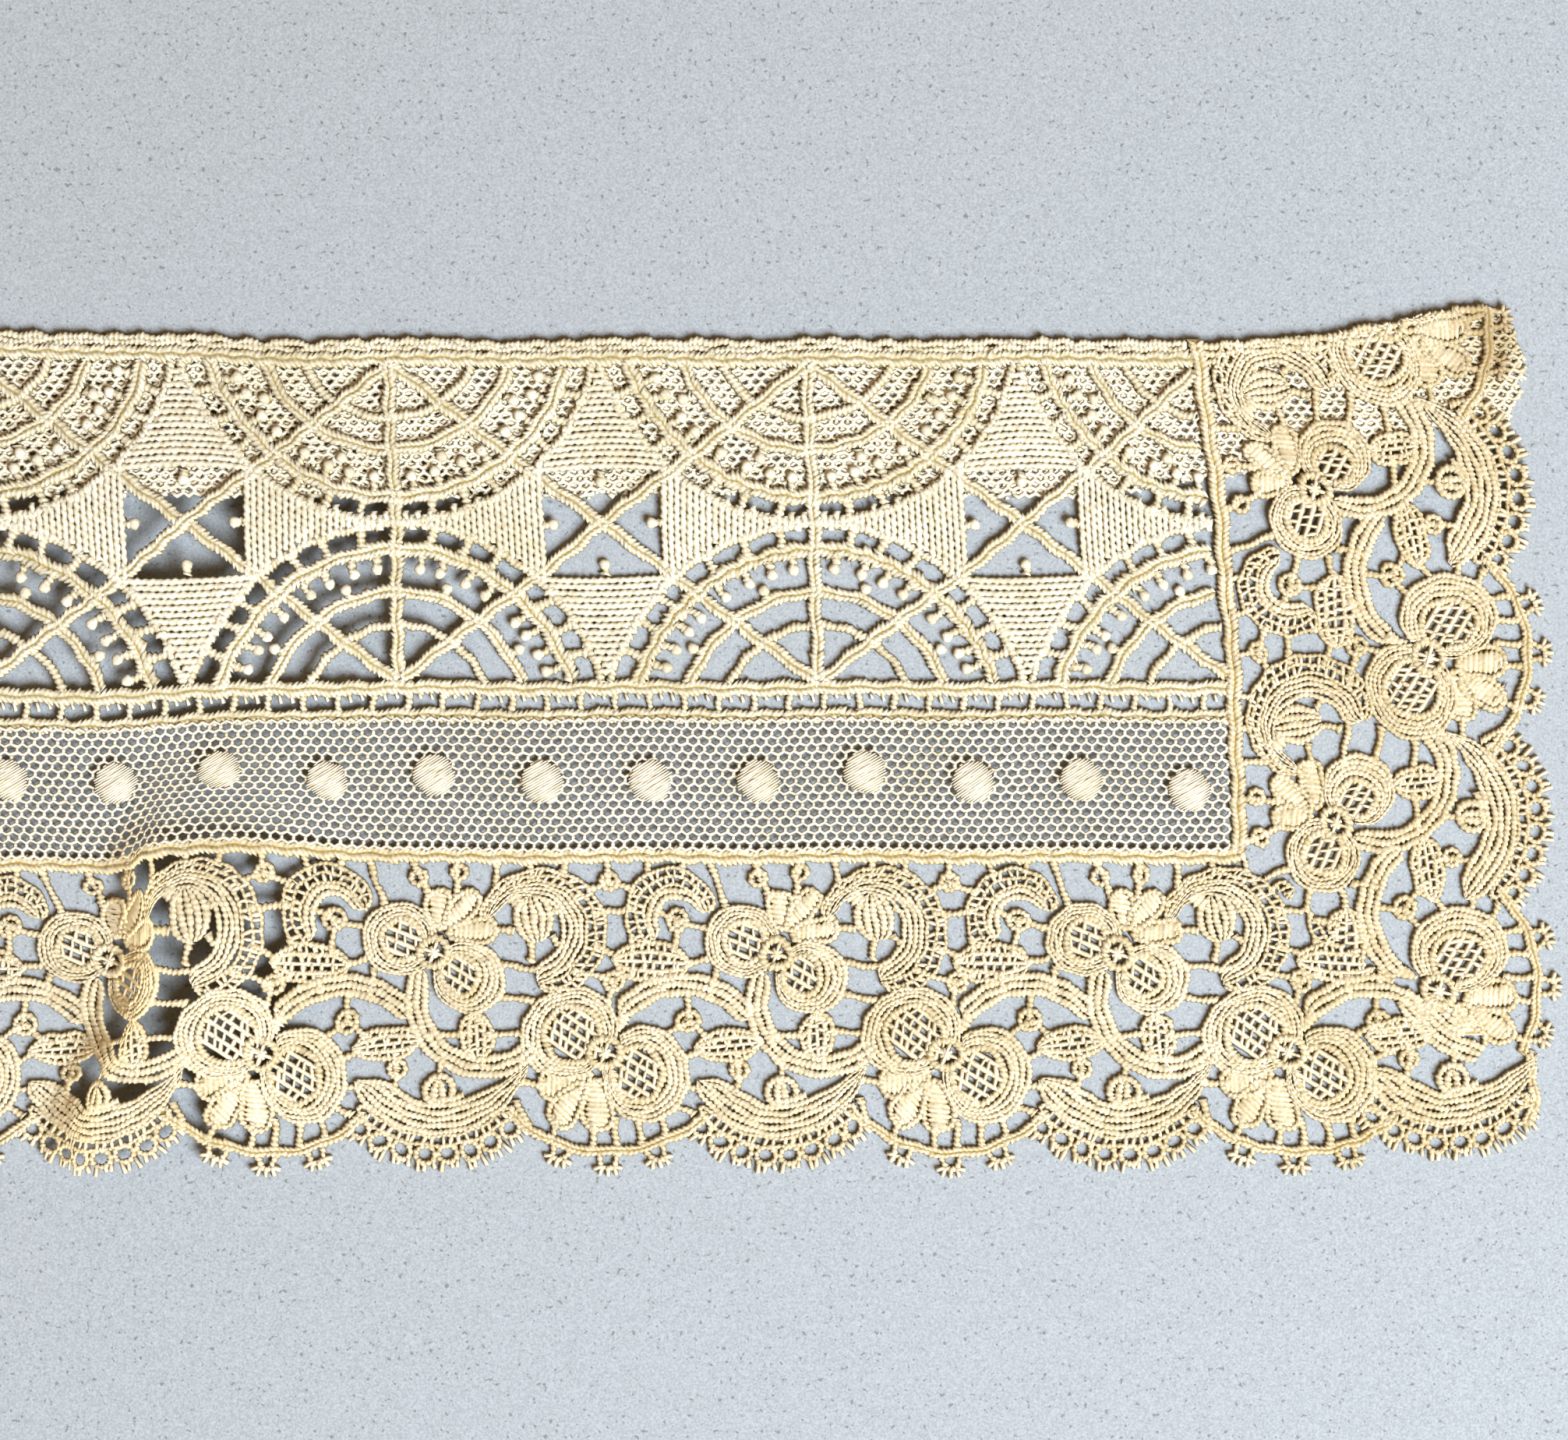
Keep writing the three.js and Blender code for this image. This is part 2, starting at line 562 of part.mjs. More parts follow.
// The net turning, with its raw edge rising to a ragged corner at the right
function turningCutter() {
  const head = INSERTION_HEAD - 0.6;
  const rawEdge = [
    [LEFT_END, TURNING_RAW_EDGE],
    [-118, TURNING_RAW_EDGE],
    [-60, TURNING_RAW_EDGE + 0.4],
    [-20, TURNING_RAW_EDGE],
    [0, 48.3],
    [12, 50.4],
    [24, 54],
  ];
  const corner = [
    [36, 54.6],
    [39.4, 56.3],
    [41.2, 59.6],
    [42.2, 63.4],
    [41.6, 67.2],
    [39.8, 70.2],
    [37.6, 70.4],
  ];
  const headEdge = [30, 18, 6, 0].map((x) => [x, sideHead(x) - 0.6]);
  return cutter([...rawEdge, ...corner, ...headEdge, [-60, head], [-118, head], [LEFT_END, head]]);
}

// The net band is a flat strip with its embroidered dots standing on it
function netBandSolid() {
  const net = lowerSheet(NET_THICKNESS).intersect(
    cutter(edgesOf(LEFT_END, INSERTION_RIGHT, NET_FOOT, NET_HEAD)),
  );
  const dots = Array.from({ length: DOT_COUNT }, (unused, index) => {
    const centre = { s: DOT_FIRST + index * DOT_PITCH, t: DOT_ROWS[index % DOT_ROWS.length] };
    return cutter(ellipse({ ...centre, long: DOT_RADIUS, wide: DOT_RADIUS, turn: 0 }));
  });
  return net.add(lowerSheet(NET_THICKNESS + DOT_HEIGHT).intersect(join(dots)));
}

// A named piece with its cloth
function piece(name, solid, colour) {
  const { vertProperties, triVerts } = solid.getMesh();
  const geometry = new THREE.BufferGeometry();
  geometry.setAttribute("position", new THREE.BufferAttribute(vertProperties, 3));
  geometry.setIndex(new THREE.BufferAttribute(triVerts, 1));
  geometry.computeVertexNormals();
  const cloth = new THREE.MeshStandardMaterial({ color: colour, roughness: 0.95, metalness: 0 });
  const mesh = new THREE.Mesh(geometry, cloth);
  mesh.name = name;
  return mesh;
}

const LACE_COLOUR = 0xeadcb4;
const NET_COLOUR = 0xd9d2be;

const border = new THREE.Group();
border.add(
  piece("lace_insertion", upperSheet(LACE_THICKNESS, LIFT).intersect(insertionCutter()), LACE_COLOUR),
  piece("net_turning", upperSheet(NET_THICKNESS, 0).intersect(turningCutter()), NET_COLOUR),
  piece("net_band", netBandSolid(), NET_COLOUR),
  piece("edging_bottom", lowerSheet(LACE_THICKNESS).intersect(bottomEdgingCutter()), LACE_COLOUR),
  piece("edging_side", flatSheet(LACE_THICKNESS, LIFT).intersect(sideEdgingCutter()), LACE_COLOUR),
);

// The border's frame stands at the middle of its box, on the table
const box = new THREE.Box3().setFromObject(border);
const middle = box.getCenter(new THREE.Vector3());
border.position.set(-middle.x, -middle.y, -box.min.z);

const group = new THREE.Group();
group.add(border);

export default group;
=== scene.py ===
# %% [markdown]
# # An embroidered lace border, stitch by stitch
#
# The object is the corner of a sewn lace border. From the head down it has an insertion of wheels
# and windows worked in cord, a band of dotted net, and a floral edging that turns the corner in a
# mitre. Everything is cotton thread, so everything here is thread too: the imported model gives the
# sizes, and each piece replaces one of its plain solids.

import itertools
import math

import bmesh
import bpy
import numpy as np
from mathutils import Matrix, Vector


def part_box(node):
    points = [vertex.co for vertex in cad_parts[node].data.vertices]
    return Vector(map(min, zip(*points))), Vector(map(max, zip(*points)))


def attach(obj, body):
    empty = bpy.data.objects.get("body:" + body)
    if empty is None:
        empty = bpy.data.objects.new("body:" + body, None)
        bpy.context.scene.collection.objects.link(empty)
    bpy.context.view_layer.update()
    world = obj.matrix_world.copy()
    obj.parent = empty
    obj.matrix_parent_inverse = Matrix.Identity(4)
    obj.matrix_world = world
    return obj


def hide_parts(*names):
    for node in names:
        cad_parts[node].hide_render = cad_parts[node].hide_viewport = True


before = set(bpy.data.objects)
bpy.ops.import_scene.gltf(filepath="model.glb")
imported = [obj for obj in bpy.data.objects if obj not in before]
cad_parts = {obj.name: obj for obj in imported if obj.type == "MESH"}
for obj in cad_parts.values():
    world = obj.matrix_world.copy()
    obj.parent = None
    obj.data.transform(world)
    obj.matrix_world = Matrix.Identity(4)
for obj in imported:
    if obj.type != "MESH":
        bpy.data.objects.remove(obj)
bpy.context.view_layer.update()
MM = 0.001
CORD = 1.8
SEAM_GAP = 0.3
inner_corner = np.array([
    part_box("net_band")[1].x + (CORD / 2 + SEAM_GAP) * MM,
    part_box("edging_bottom")[1].y - CORD / 2 * MM,
    0.0,
])
random = np.random.default_rng(7)
print("inner corner of the border", inner_corner)

# %% [markdown]
# ## How the cloth lies
#
# The border is drawn flat first, in millimetres from the inner corner. One function then moves each
# point to where it lies on the table: a fold and a low bulge at the left end, a sag there, the right
# side that leans in towards the head, and lace that is raised where a turning of net lies under it.
# The fold takes up some of the length, and the bulge pushes the cloth a little to the right. Bending
# the finished meshes with modifiers would also work, but one function keeps every thread on the same
# cloth.

# %% The lie of the cloth
LEFT_END = -162.0
SIDE_HEAD = 65.8
FOLD_STEEP_SIDE = 7.8
FOLD_GENTLE_SIDE = 26.0
FOLD_TAKE_UP = 2.3
FOLD_FULL_HEIGHT = 4.7
BULGE_CENTRE = (-134.0, 38.0)
BULGE_REACH = (54.0, 29.0)
BULGE_HEIGHT = 3.6
BULGE_PUSH = 0.9
RAISED_BY_TURNING = 0.55
TURNING_RISE = (36.5, 44.5)

# Columns: y, crest, height
FOLD = np.array([
    [-46, -148.4, 3.0],
    [-41, -147.6, 3.2],
    [-33, -146.0, 3.8],
    [-28, -144.0, 4.2],
    [-23, -140.8, 4.5],
    [-18, -138.8, 4.7],
    [-12, -137.4, 4.7],
    [-6, -138.2, 4.4],
    [0, -138.4, 3.6],
    [5, -136.2, 2.0],
    [11, -133.8, 1.0],
    [15, -132.5, 0.5],
    [19, -131.5, 0.0],
    [80, -131.5, 0.0],
])

# Columns: y, rise
SAG = np.array([[-42, 0], [0, -1.2], [18, -1.3], [22, -1.1], [63, 1.0], [80, 1.0]])


def smoothstep(value, low, high):
    share = np.clip((value - low) / (high - low), 0, 1)
    return share * share * (3 - 2 * share)


def crest_of_fold(y):
    return np.interp(y, FOLD[:, 0], FOLD[:, 1])


def height_of_fold(y):
    return np.interp(y, FOLD[:, 0], FOLD[:, 2])


def bulge_of_cloth(x, y):
    across = (x - BULGE_CENTRE[0]) / BULGE_REACH[0]
    up = (y - BULGE_CENTRE[1]) / BULGE_REACH[1]
    return (1 - np.clip(across ** 2 + up ** 2, 0, 1)) ** 2


def height_of_cloth(x, y):
    offset = x - crest_of_fold(y)
    steep = smoothstep(offset, -FOLD_STEEP_SIDE, 0)
    gentle = 1 - smoothstep(offset, 2, FOLD_GENTLE_SIDE)
    return np.maximum(height_of_fold(y) * steep * gentle, BULGE_HEIGHT * bulge_of_cloth(x, y))


def lay(flat, raised):
    # Sewn cloth is never quite straight, and it sags at the left end
    x = flat[..., 0] + 0.12 * np.sin(0.31 * flat[..., 1] + 0.11 * flat[..., 0])
    y = flat[..., 1] + 0.14 * np.sin(0.23 * flat[..., 0] + 0.4)
    sag = np.interp(y, SAG[:, 0], SAG[:, 1]) * (1 - smoothstep(x, -150, -118))

    # The right side leans in most, and its scallops flare out below the corner
    lean = 1.3 + 0.5 * smoothstep(x, -115, -60) + 3.7 * smoothstep(x, -32, 0)
    lean = lean * (np.maximum(y, 0) / SIDE_HEAD) ** 2.1
    flare = 0.03 * np.maximum(-y, 0) * smoothstep(x, 0, 20)

    # The fold pushes the heading up and takes in some of the length
    hump = 1.7 * smoothstep(x, -146, -139) * (1 - smoothstep(x, -132, -104))
    hump = hump * smoothstep(y, -14, -3) * (1 - smoothstep(y, 2, 14))
    crest = crest_of_fold(y)
    folded = height_of_fold(y) / FOLD_FULL_HEIGHT
    take_up = FOLD_TAKE_UP * folded * (1 - smoothstep(x, crest - 6, crest))

    x = x + take_up + flare - lean + BULGE_PUSH * bulge_of_cloth(x, y)
    y = y + sag + hump
    z = height_of_cloth(x, y) + raised * smoothstep(y, *TURNING_RISE)
    return np.stack([x, y, z], axis=-1)


print("height of the fold's crest in mm", round(float(height_of_cloth(-137.9, -14.0)), 2))

# %% [markdown]
# ## Thread
#
# On the real lace a needle lays stitch beside stitch, so a cord looks like two rows of small nubs
# with a golden groove between them. There are tens of thousands of nubs, so they are not modelled
# one by one: a path is cut into stations half a stitch apart, a small section is set across each
# station, and the section is full at one station and pinched at the next. Two attributes stay with
# each point, and both paint light and shade into the colour. The first, light, is 1 on top of a
# stitch, where the thread keeps its cream, 0 down in a groove, where golden shade is painted, and
# below 0 at the foot of a thread, where a brown shadow is painted. The second attribute is 1 on the
# steep, shaded side of the fold, which is painted a bright golden in place of the light that the
# threads bounce there.

# %% Sections of the threads
def mirrored(left, two_rows=False):
    left = np.column_stack([left, np.zeros(len(left))])
    right = left[left[:, 0] < 0][::-1] * [-1, 1, 1, 1, 1, 1]
    right[:, 5] = two_rows
    return np.vstack([left, right])


# Painted light: the light columns set each point's painted shade, golden in grooves and at edges, and a
# brown painted shadow below 0 at a thread's foot
# The left half. Columns: across, up and light on a stitch, up and light between stitches
DOUBLE_CORD = mirrored([
    [-1.08, 0.00, -0.50, 0.00, -1.00],
    [-0.94, 0.62, 0.80, 0.36, 0.10],
    [-0.52, 1.00, 1.00, 0.66, 0.55],
    [-0.17, 0.84, 0.80, 0.56, 0.30],
    [0.00, 0.60, 0.05, 0.38, -0.30],
], two_rows=True)
STITCH_ROW = mirrored([
    [-1.20, -0.20, -0.70, -0.20, -1.00],
    [-0.84, 0.74, 0.80, 0.44, 0.10],
    [0.00, 1.00, 1.00, 0.66, 0.50],
])
CLOSE_ROW = mirrored([
    [-1.00, 0.30, 0.45, 0.00, -0.25],
    [-0.62, 0.92, 1.00, 0.62, 0.40],
    [0.00, 1.00, 1.00, 0.74, 0.60],
])
PINHOLE_ROW = mirrored([
    [-1.00, 0.74, 0.75, 0.34, -0.05],
    [-0.60, 0.95, 1.00, 0.66, 0.40],
    [0.00, 1.00, 1.00, 0.94, 0.95],
], two_rows=True)
SATIN_THREAD = STITCH_ROW[:, [0, 1, 2, 1, 2, 5]]
NET_THREAD = mirrored([[-1.35, 0.05, 0.15, 0.05, 0.15], [-0.50, 1.00, 1.00, 1.00, 1.00]])
FINE_THREAD = mirrored([[-1.15, 0.00, 0.00, 0.00, 0.00], [-0.40, 1.00, 1.00, 1.00, 1.00]])
print("points in a cord's section:", len(DOUBLE_CORD))

# %% Paths and their stations
LACE_BASE = 0.3


def path(points, width, height, base=LACE_BASE, closed=False):
    return {
        "points": np.asarray(points, float),
        "width": np.asarray(width, float),
        "height": height,
        "base": base,
        "closed": closed,
    }


def stations(one, step):
    points = one["points"]
    width = np.broadcast_to(one["width"], len(points))
    if one["closed"]:
        points = np.vstack([points, points[:1]])
        width = np.append(width, width[0])
    run = np.concatenate([[0], np.cumsum(np.hypot(*np.diff(points, axis=0).T))])
    count = max(1, round(run[-1] / step))
    if one["closed"]:
        count = max(6, count + count % 2)
    at = np.linspace(0, run[-1], count + 1)[: count if one["closed"] else None]
    at[1:-1] += random.uniform(-0.2, 0.2, max(len(at) - 2, 0)) * step
    middle = np.column_stack([np.interp(at, run, points[:, 0]), np.interp(at, run, points[:, 1])])
    return middle, np.interp(at, run, width)


def runs_inside(middle, width, closed, inside):
    kept = inside(middle)
    if kept.all():
        return [(middle, width, closed)]
    if closed:
        first = int(np.argmin(kept))
        middle, width, kept = (np.roll(a, -first, axis=0) for a in (middle, width, kept))
    edges = np.flatnonzero(np.diff(np.concatenate([[0], kept.astype(int), [0]])))
    return [(middle[a:b], width[a:b], False) for a, b in edges.reshape(-1, 2) if b - a > 1]


def everywhere(points):
    return np.ones(len(points), bool)


# %% Rings of points along paths
def directions(middle, closed):
    if closed:
        along = np.roll(middle, -1, axis=0) - np.roll(middle, 1, axis=0)
    else:
        along = np.gradient(middle, axis=0)
    return along / np.maximum(np.hypot(along[:, 0], along[:, 1]), 1e-9)[:, None]


def rings_along(paths, step, inside, wander):
    rings = []
    links = []
    ends = []
    total = 0
    for one in paths:
        for middle, width, closed in runs_inside(*stations(one, step), one["closed"], inside):
            count = len(middle)
            along = directions(middle, closed)
            side = np.column_stack([-along[:, 1], along[:, 0]])
            waves = max(1, round(count * step / random.uniform(3, 7)))
            turn = np.arange(count) / count * waves + random.uniform()
            number = total + np.arange(count)
            links.append(np.column_stack([number[:-1], number[1:]]))
            if closed:
                links.append(np.array([[number[-1], number[0]]]))
            else:
                ends.append([number[0], number[-1]])
            rings.append({
                "middle": middle + side * wander * np.sin(2 * np.pi * turn)[:, None],
                "side": side,
                "along": along,
                "width": width[:, None],
                "height": np.full((count, 1), one["height"]),
                "base": np.full((count, 1), one["base"]),
                "phase": np.arange(count)[:, None] % 2,
                "tone": np.full((count, 1), random.uniform(0.84, 1.0)),
            })
            total += count
    ring = {name: np.concatenate([part[name] for part in rings]) for name in rings[0]}
    return ring, np.concatenate(links), np.array(ends, int).reshape(-1, 2)


# %% Sweep a section along paths
THREAD_DEPTH = 0.76
WIDTH_SPREAD = 0.11
HEIGHT_SPREAD = 0.13


# The steep, shaded side of the fold, where a bright golden light is painted
def fold_shade(points):
    offset = points[..., 0] - crest_of_fold(points[..., 1])
    steep = smoothstep(offset, -7.5, -4.0) * (1 - smoothstep(offset, -1.5, 2.0))
    height = height_of_fold(points[..., 1]) / FOLD_FULL_HEIGHT
    return steep * height * (1 - 0.6 * smoothstep(points[..., 1], -2, 3))


def sweep(paths, section, step, pinch=0.0, raised=0.0, inside=everywhere, wander=0.0, slant=0.0):
    ring, links, ends = rings_along(paths, step, inside, wander)
    total = len(ring["middle"])
    size = len(section)
    low = (ring["phase"] + section[:, 5]) % 2
    across = section[:, 0] * (1 - pinch * low) * random.normal(1, WIDTH_SPREAD, (total, 1))
    across = across * ring["width"] / 2
    lean = slant * (np.abs(across) if section[-1, 5] else across)
    flat = ring["middle"][:, None, :] + ring["side"][:, None, :] * across[..., None]
    flat = flat + ring["along"][:, None, :] * lean[..., None]
    points = lay(flat, raised)
    up = np.where(low, section[:, 3], section[:, 1]) * random.normal(1, HEIGHT_SPREAD, (total, 1))
    points[..., 2] += THREAD_DEPTH * (ring["base"] + up * ring["height"])
    light = np.where(low, section[:, 4], section[:, 2]) * ring["tone"]
    light = light * random.uniform(0.74, 1.08, (total, 1))
    # The side edging has yellowed a little
    light = light * (1 - 0.15 * smoothstep(points[..., 0], -8, 14))
    here, there = (links * size).T
    corners = np.arange(size)
    sides = [
        np.column_stack([here + k, there + k, there + (k + 1) % size, here + (k + 1) % size])
        for k in corners
    ]
    caps = [ends[:, :1] * size + corners, ends[:, 1:] * size + corners[::-1]]
    return {
        "points": points.reshape(-1, 3),
        "light": light.ravel(),
        "painted_fold_light": fold_shade(points).ravel(),
        "faces": [*sides, *caps],
    }


# %% Kinds of thread
STITCH = 0.66
PINHOLE = 0.98
# Section, step, pinch, wander, slant
KINDS = {
    "cord": (DOUBLE_CORD, STITCH / 2, 0.16, 0.14, 0.6),
    "row": (STITCH_ROW, STITCH / 2, 0.28, 0.13, 0.3),
    "close": (CLOSE_ROW, STITCH / 2, 0.24, 0.10, 0.25),
    "pinhole": (PINHOLE_ROW, PINHOLE / 2, 0.25, 0.0, 0.0),
    "thread": (FINE_THREAD, 0.7, 0.0, 0.0, 0.0),
}


def threads(paths, kinds, raised, inside):
    parts = []
    for kind in kinds:
        shape, step, pinch, wander, slant = KINDS[kind]
        parts.append(sweep(paths[kind], shape, step, pinch, raised, inside, wander, slant))
    return parts


print("kinds of thread:", *KINDS)

# %% [markdown]
# Small balls end the picots of the insertion. One low ball is made with a bmesh operator and its
# points are then set down wherever a picot needs it.

# %% Picot balls
ball_mesh = bmesh.new()
bmesh.ops.create_uvsphere(ball_mesh, u_segments=8, v_segments=6, radius=1.0)
ball_mesh.verts.index_update()
BALL_POINTS = np.array([vertex.co[:] for vertex in ball_mesh.verts])
# The operator lists its faces in another order each run, so they are sorted
ball_faces = sorted([vertex.index for vertex in face.verts] for face in ball_mesh.faces)
BALL_FACES = [np.array([face for face in ball_faces if len(face) == corners]) for corners in (3, 4)]
ball_mesh.free()
print("faces of one ball:", len(ball_faces))


def balls(places, radius, raised=0.0, inside=everywhere):
    places = np.asarray(places, float)
    places = places[inside(places)]
    turn = random.uniform(0, 6.28, len(places))
    x = BALL_POINTS[:, 0] * np.cos(turn)[:, None] - BALL_POINTS[:, 1] * np.sin(turn)[:, None]
    y = BALL_POINTS[:, 0] * np.sin(turn)[:, None] + BALL_POINTS[:, 1] * np.cos(turn)[:, None]
    nubs = 1 + 0.1 * np.sin(3 * np.arctan2(y, x) + turn[:, None])
    flat = places[:, None, :] + radius * np.stack([x * nubs, y * nubs], axis=-1)
    points = lay(flat, raised)
    points[..., 2] = lay(places, raised)[:, None, 2] + 0.1 + radius * 0.55 * (1 + BALL_POINTS[:, 2])
    # Painted shade: a ball keeps its cream on top and is painted golden towards its foot
    light = np.clip(0.3 + 0.6 * BALL_POINTS[:, 2], 0, 1) * random.uniform(0.7, 1.1, (len(places), 1))
    first = (np.arange(len(places)) * len(BALL_POINTS))[:, None, None]
    faces = [(first + grid).reshape(-1, grid.shape[1]) for grid in BALL_FACES]
    painted_fold_light = np.zeros(light.size)
    return {"points": points.reshape(-1, 3), "light": light.ravel(), "painted_fold_light": painted_fold_light, "faces": faces}


# %% [markdown]
# Each piece of the border is one mesh. Its parts are arrays of points and faces, so foreach_set
# writes them in one go; a bmesh would take minutes over a hundred thousand faces.


# %% Join parts into one piece
def add_object(name, data):
    made = bpy.data.objects.new(name, data)
    bpy.context.scene.collection.objects.link(made)
    return made


def make_piece(name, parts, material, replaced=()):
    starts = np.cumsum([0] + [len(part["points"]) for part in parts])
    points = np.concatenate([part["points"] for part in parts]) * MM + inner_corner
    faces = [grid + start for part, start in zip(parts, starts) for grid in part["faces"]]
    sizes = np.concatenate([np.full(len(grid), grid.shape[1]) for grid in faces])
    mesh = bpy.data.meshes.new(name)
    mesh.vertices.add(len(points))
    mesh.vertices.foreach_set("co", points.astype(np.float32).ravel())
    mesh.loops.add(int(sizes.sum()))
    mesh.polygons.add(len(sizes))
    mesh.polygons.foreach_set("loop_start", (np.cumsum(sizes) - sizes).astype(np.int32))
    corners = np.concatenate([grid.ravel() for grid in faces])
    mesh.polygons.foreach_set("vertices", corners.astype(np.int32))
    mesh.polygons.foreach_set("use_smooth", np.ones(len(sizes), bool))
    for tone in ("light", "painted_fold_light"):
        values = np.concatenate([part[tone] for part in parts]).astype(np.float32)
        mesh.attributes.new(tone, "FLOAT", "POINT").data.foreach_set("value", values)
    mesh.update(calc_edges=True)
    mesh.materials.append(material)
    piece = add_object(name, mesh)
    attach(piece, "root")
    if replaced:
        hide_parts(*replaced)
    print(name, "triangles:", int((sizes - 2).sum()))
    return piece


# %% [markdown]
# ## Cotton
#
# Old cotton is matt. Its stitches keep a cream colour on top, and golden shade is painted down in
# the grooves, a brown shadow at the foot of each thread and a bright golden light on the steep side
# of the fold. Some patches are a little darker, and the corner at the top right has a brown stain.
# Net, cord and satin stitch share this, so it is one node group that puts out colour, roughness and
# the fine bump of the fibres. The shader itself stays in each material.

# %% The aged cotton group
OUTPUTS = {"Color": "NodeSocketColor", "Roughness": "NodeSocketFloat", "Normal": "NodeSocketVector"}
aged_cotton = bpy.data.node_groups.new("aged cotton", "ShaderNodeTree")
for socket in ("Thread", "Groove", "Stain"):
    aged_cotton.interface.new_socket(socket, in_out="INPUT", socket_type="NodeSocketColor")
for socket, kind in OUTPUTS.items():
    aged_cotton.interface.new_socket(socket, in_out="OUTPUT", socket_type=kind)
nodes = aged_cotton.nodes
wire = aged_cotton.links.new
given = nodes.new("NodeGroupInput")
result = nodes.new("NodeGroupOutput")
place = nodes.new("ShaderNodeTexCoord")


def set_inputs(node, values):
    for name, value in values.items():
        node.inputs[name].default_value = value


# These helpers build in the tree that nodes, wire and place belong to
def noise(scale, detail):
    node = nodes.new("ShaderNodeTexNoise")
    set_inputs(node, {"Scale": scale, "Detail": detail})
    wire(place.outputs["Object"], node.inputs["Vector"])
    return node.outputs["Fac"]


def attribute(name):
    node = nodes.new("ShaderNodeAttribute")
    node.attribute_name = name
    return node.outputs["Fac"]


def calculate(operation, first, second):
    node = nodes.new("ShaderNodeMath")
    node.operation = operation
    wire(first, node.inputs[0])
    wire(second, node.inputs[1])
    return node.outputs[0]


def spread(value, from_low, from_high, to_low, to_high):
    node = nodes.new("ShaderNodeMapRange")
    set_inputs(node, {"From Min": from_low, "From Max": from_high, "To Min": to_low, "To Max": to_high})
    wire(value, node.inputs["Value"])
    return node.outputs["Result"]


def mix(factor, first, second, blend="MIX"):
    node = nodes.new("ShaderNodeMix")
    node.data_type = "RGBA"
    node.blend_type = blend
    wire(factor, node.inputs["Factor"])
    wire(first, node.inputs[6])
    if isinstance(second, tuple):
        node.inputs[7].default_value = (*second, 1)
    else:
        wire(second, node.inputs[7])
    return node.outputs[2]


print("outputs of the cotton group:", *OUTPUTS)

# %% Tones of aged cotton
FOLD_PAINTED_LIGHT = (0.86, 0.70, 0.40)
FOOT_PAINTED_SHADOW = (0.30, 0.20, 0.08)
STAIN_PLACE = np.array([34.0, 66.0])
light = attribute("light")
fibres = noise(2600, 4)
patches = noise(70, 3)

# Painted shade: stitches keep the thread colour on top and are painted golden down in the groove;
# the fibres break the edge of the groove
ragged = calculate("ADD", light, spread(fibres, 0.3, 0.7, -0.22, 0.16))
on_top = spread(ragged, 0.05, 0.8, 0, 1)
stitched = mix(on_top, given.outputs["Groove"], given.outputs["Thread"])

# Painted light: the steep, shaded side of the fold is painted a bright golden, standing in for light
# bounced among the threads
painted_fold_tone = mix(spread(attribute("painted_fold_light"), 0, 1, 0, 0.8), stitched, FOLD_PAINTED_LIGHT)

# Painted shadow: the foot of each thread is painted nearly brown, where its shadow meets the board
shaded = mix(spread(light, 0, -0.9, 0, 1), painted_fold_tone, FOOT_PAINTED_SHADOW, "MULTIPLY")

# Patches of the cloth have gone a little golden
patched = mix(spread(patches, 0.45, 0.75, 0, 0.30), shaded, given.outputs["Groove"])

# The stain at the far corner
from_corner = nodes.new("ShaderNodeVectorMath")
from_corner.operation = "DISTANCE"
from_corner.inputs[1].default_value = (*(inner_corner[:2] + STAIN_PLACE * MM), 0.002)
wire(place.outputs["Object"], from_corner.inputs[0])
near_corner = spread(from_corner.outputs["Value"], 0.002, 0.009, 0.85, 0)
stain = calculate("MULTIPLY", near_corner, spread(noise(160, 3), 0.3, 0.6, 0.35, 1))
wire(mix(stain, patched, given.outputs["Stain"]), result.inputs["Color"])

# The fibres make the thread rough
wire(spread(fibres, 0.2, 0.8, 0.78, 0.96), result.inputs["Roughness"])
bump = nodes.new("ShaderNodeBump")
set_inputs(bump, {"Strength": 0.35, "Distance": 0.0001})
wire(fibres, bump.inputs["Height"])
wire(bump.outputs["Normal"], result.inputs["Normal"])
print("nodes in the cotton group:", len(nodes))


# %% Materials of lace and net
def cotton(name, thread, groove, stained):
    material = bpy.data.materials.new(name)
    material.use_nodes = True
    tree = material.node_tree
    shader = tree.nodes["Principled BSDF"]
    set_inputs(shader, {"Specular IOR Level": 0.25, "Sheen Weight": 0.15, "Sheen Roughness": 0.6})
    group = tree.nodes.new("ShaderNodeGroup")
    group.node_tree = aged_cotton
    set_inputs(group, {"Thread": (*thread, 1), "Groove": (*groove, 1), "Stain": (*stained, 1)})
    for output, socket in (("Color", "Base Color"), ("Roughness", "Roughness"), ("Normal", "Normal")):
        tree.links.new(group.outputs[output], shader.inputs[socket])
    return material


STAIN = (0.33, 0.21, 0.07)
NET_STAIN = (0.40, 0.30, 0.13)
# The second colour of each is the golden shade painted into grooves; the patches of age use it too
cream_lace = cotton("cream lace", (0.77, 0.70, 0.55), (0.35, 0.235, 0.055), STAIN)
golden_lace = cotton("golden lace", (0.79, 0.71, 0.565), (0.36, 0.245, 0.06), STAIN)
pale_lace = cotton("pale lace", (0.79, 0.75, 0.65), (0.37, 0.275, 0.09), STAIN)
cotton_net = cotton("cotton net", (0.85, 0.805, 0.69), (0.56, 0.44, 0.21), NET_STAIN)
band_net = cotton("band net", (0.81, 0.77, 0.685), (0.42, 0.34, 0.165), NET_STAIN)
dot_thread = cotton("satin dots", (0.775, 0.725, 0.61), (0.48, 0.38, 0.20), STAIN)
print("materials use the group:", aged_cotton.users)

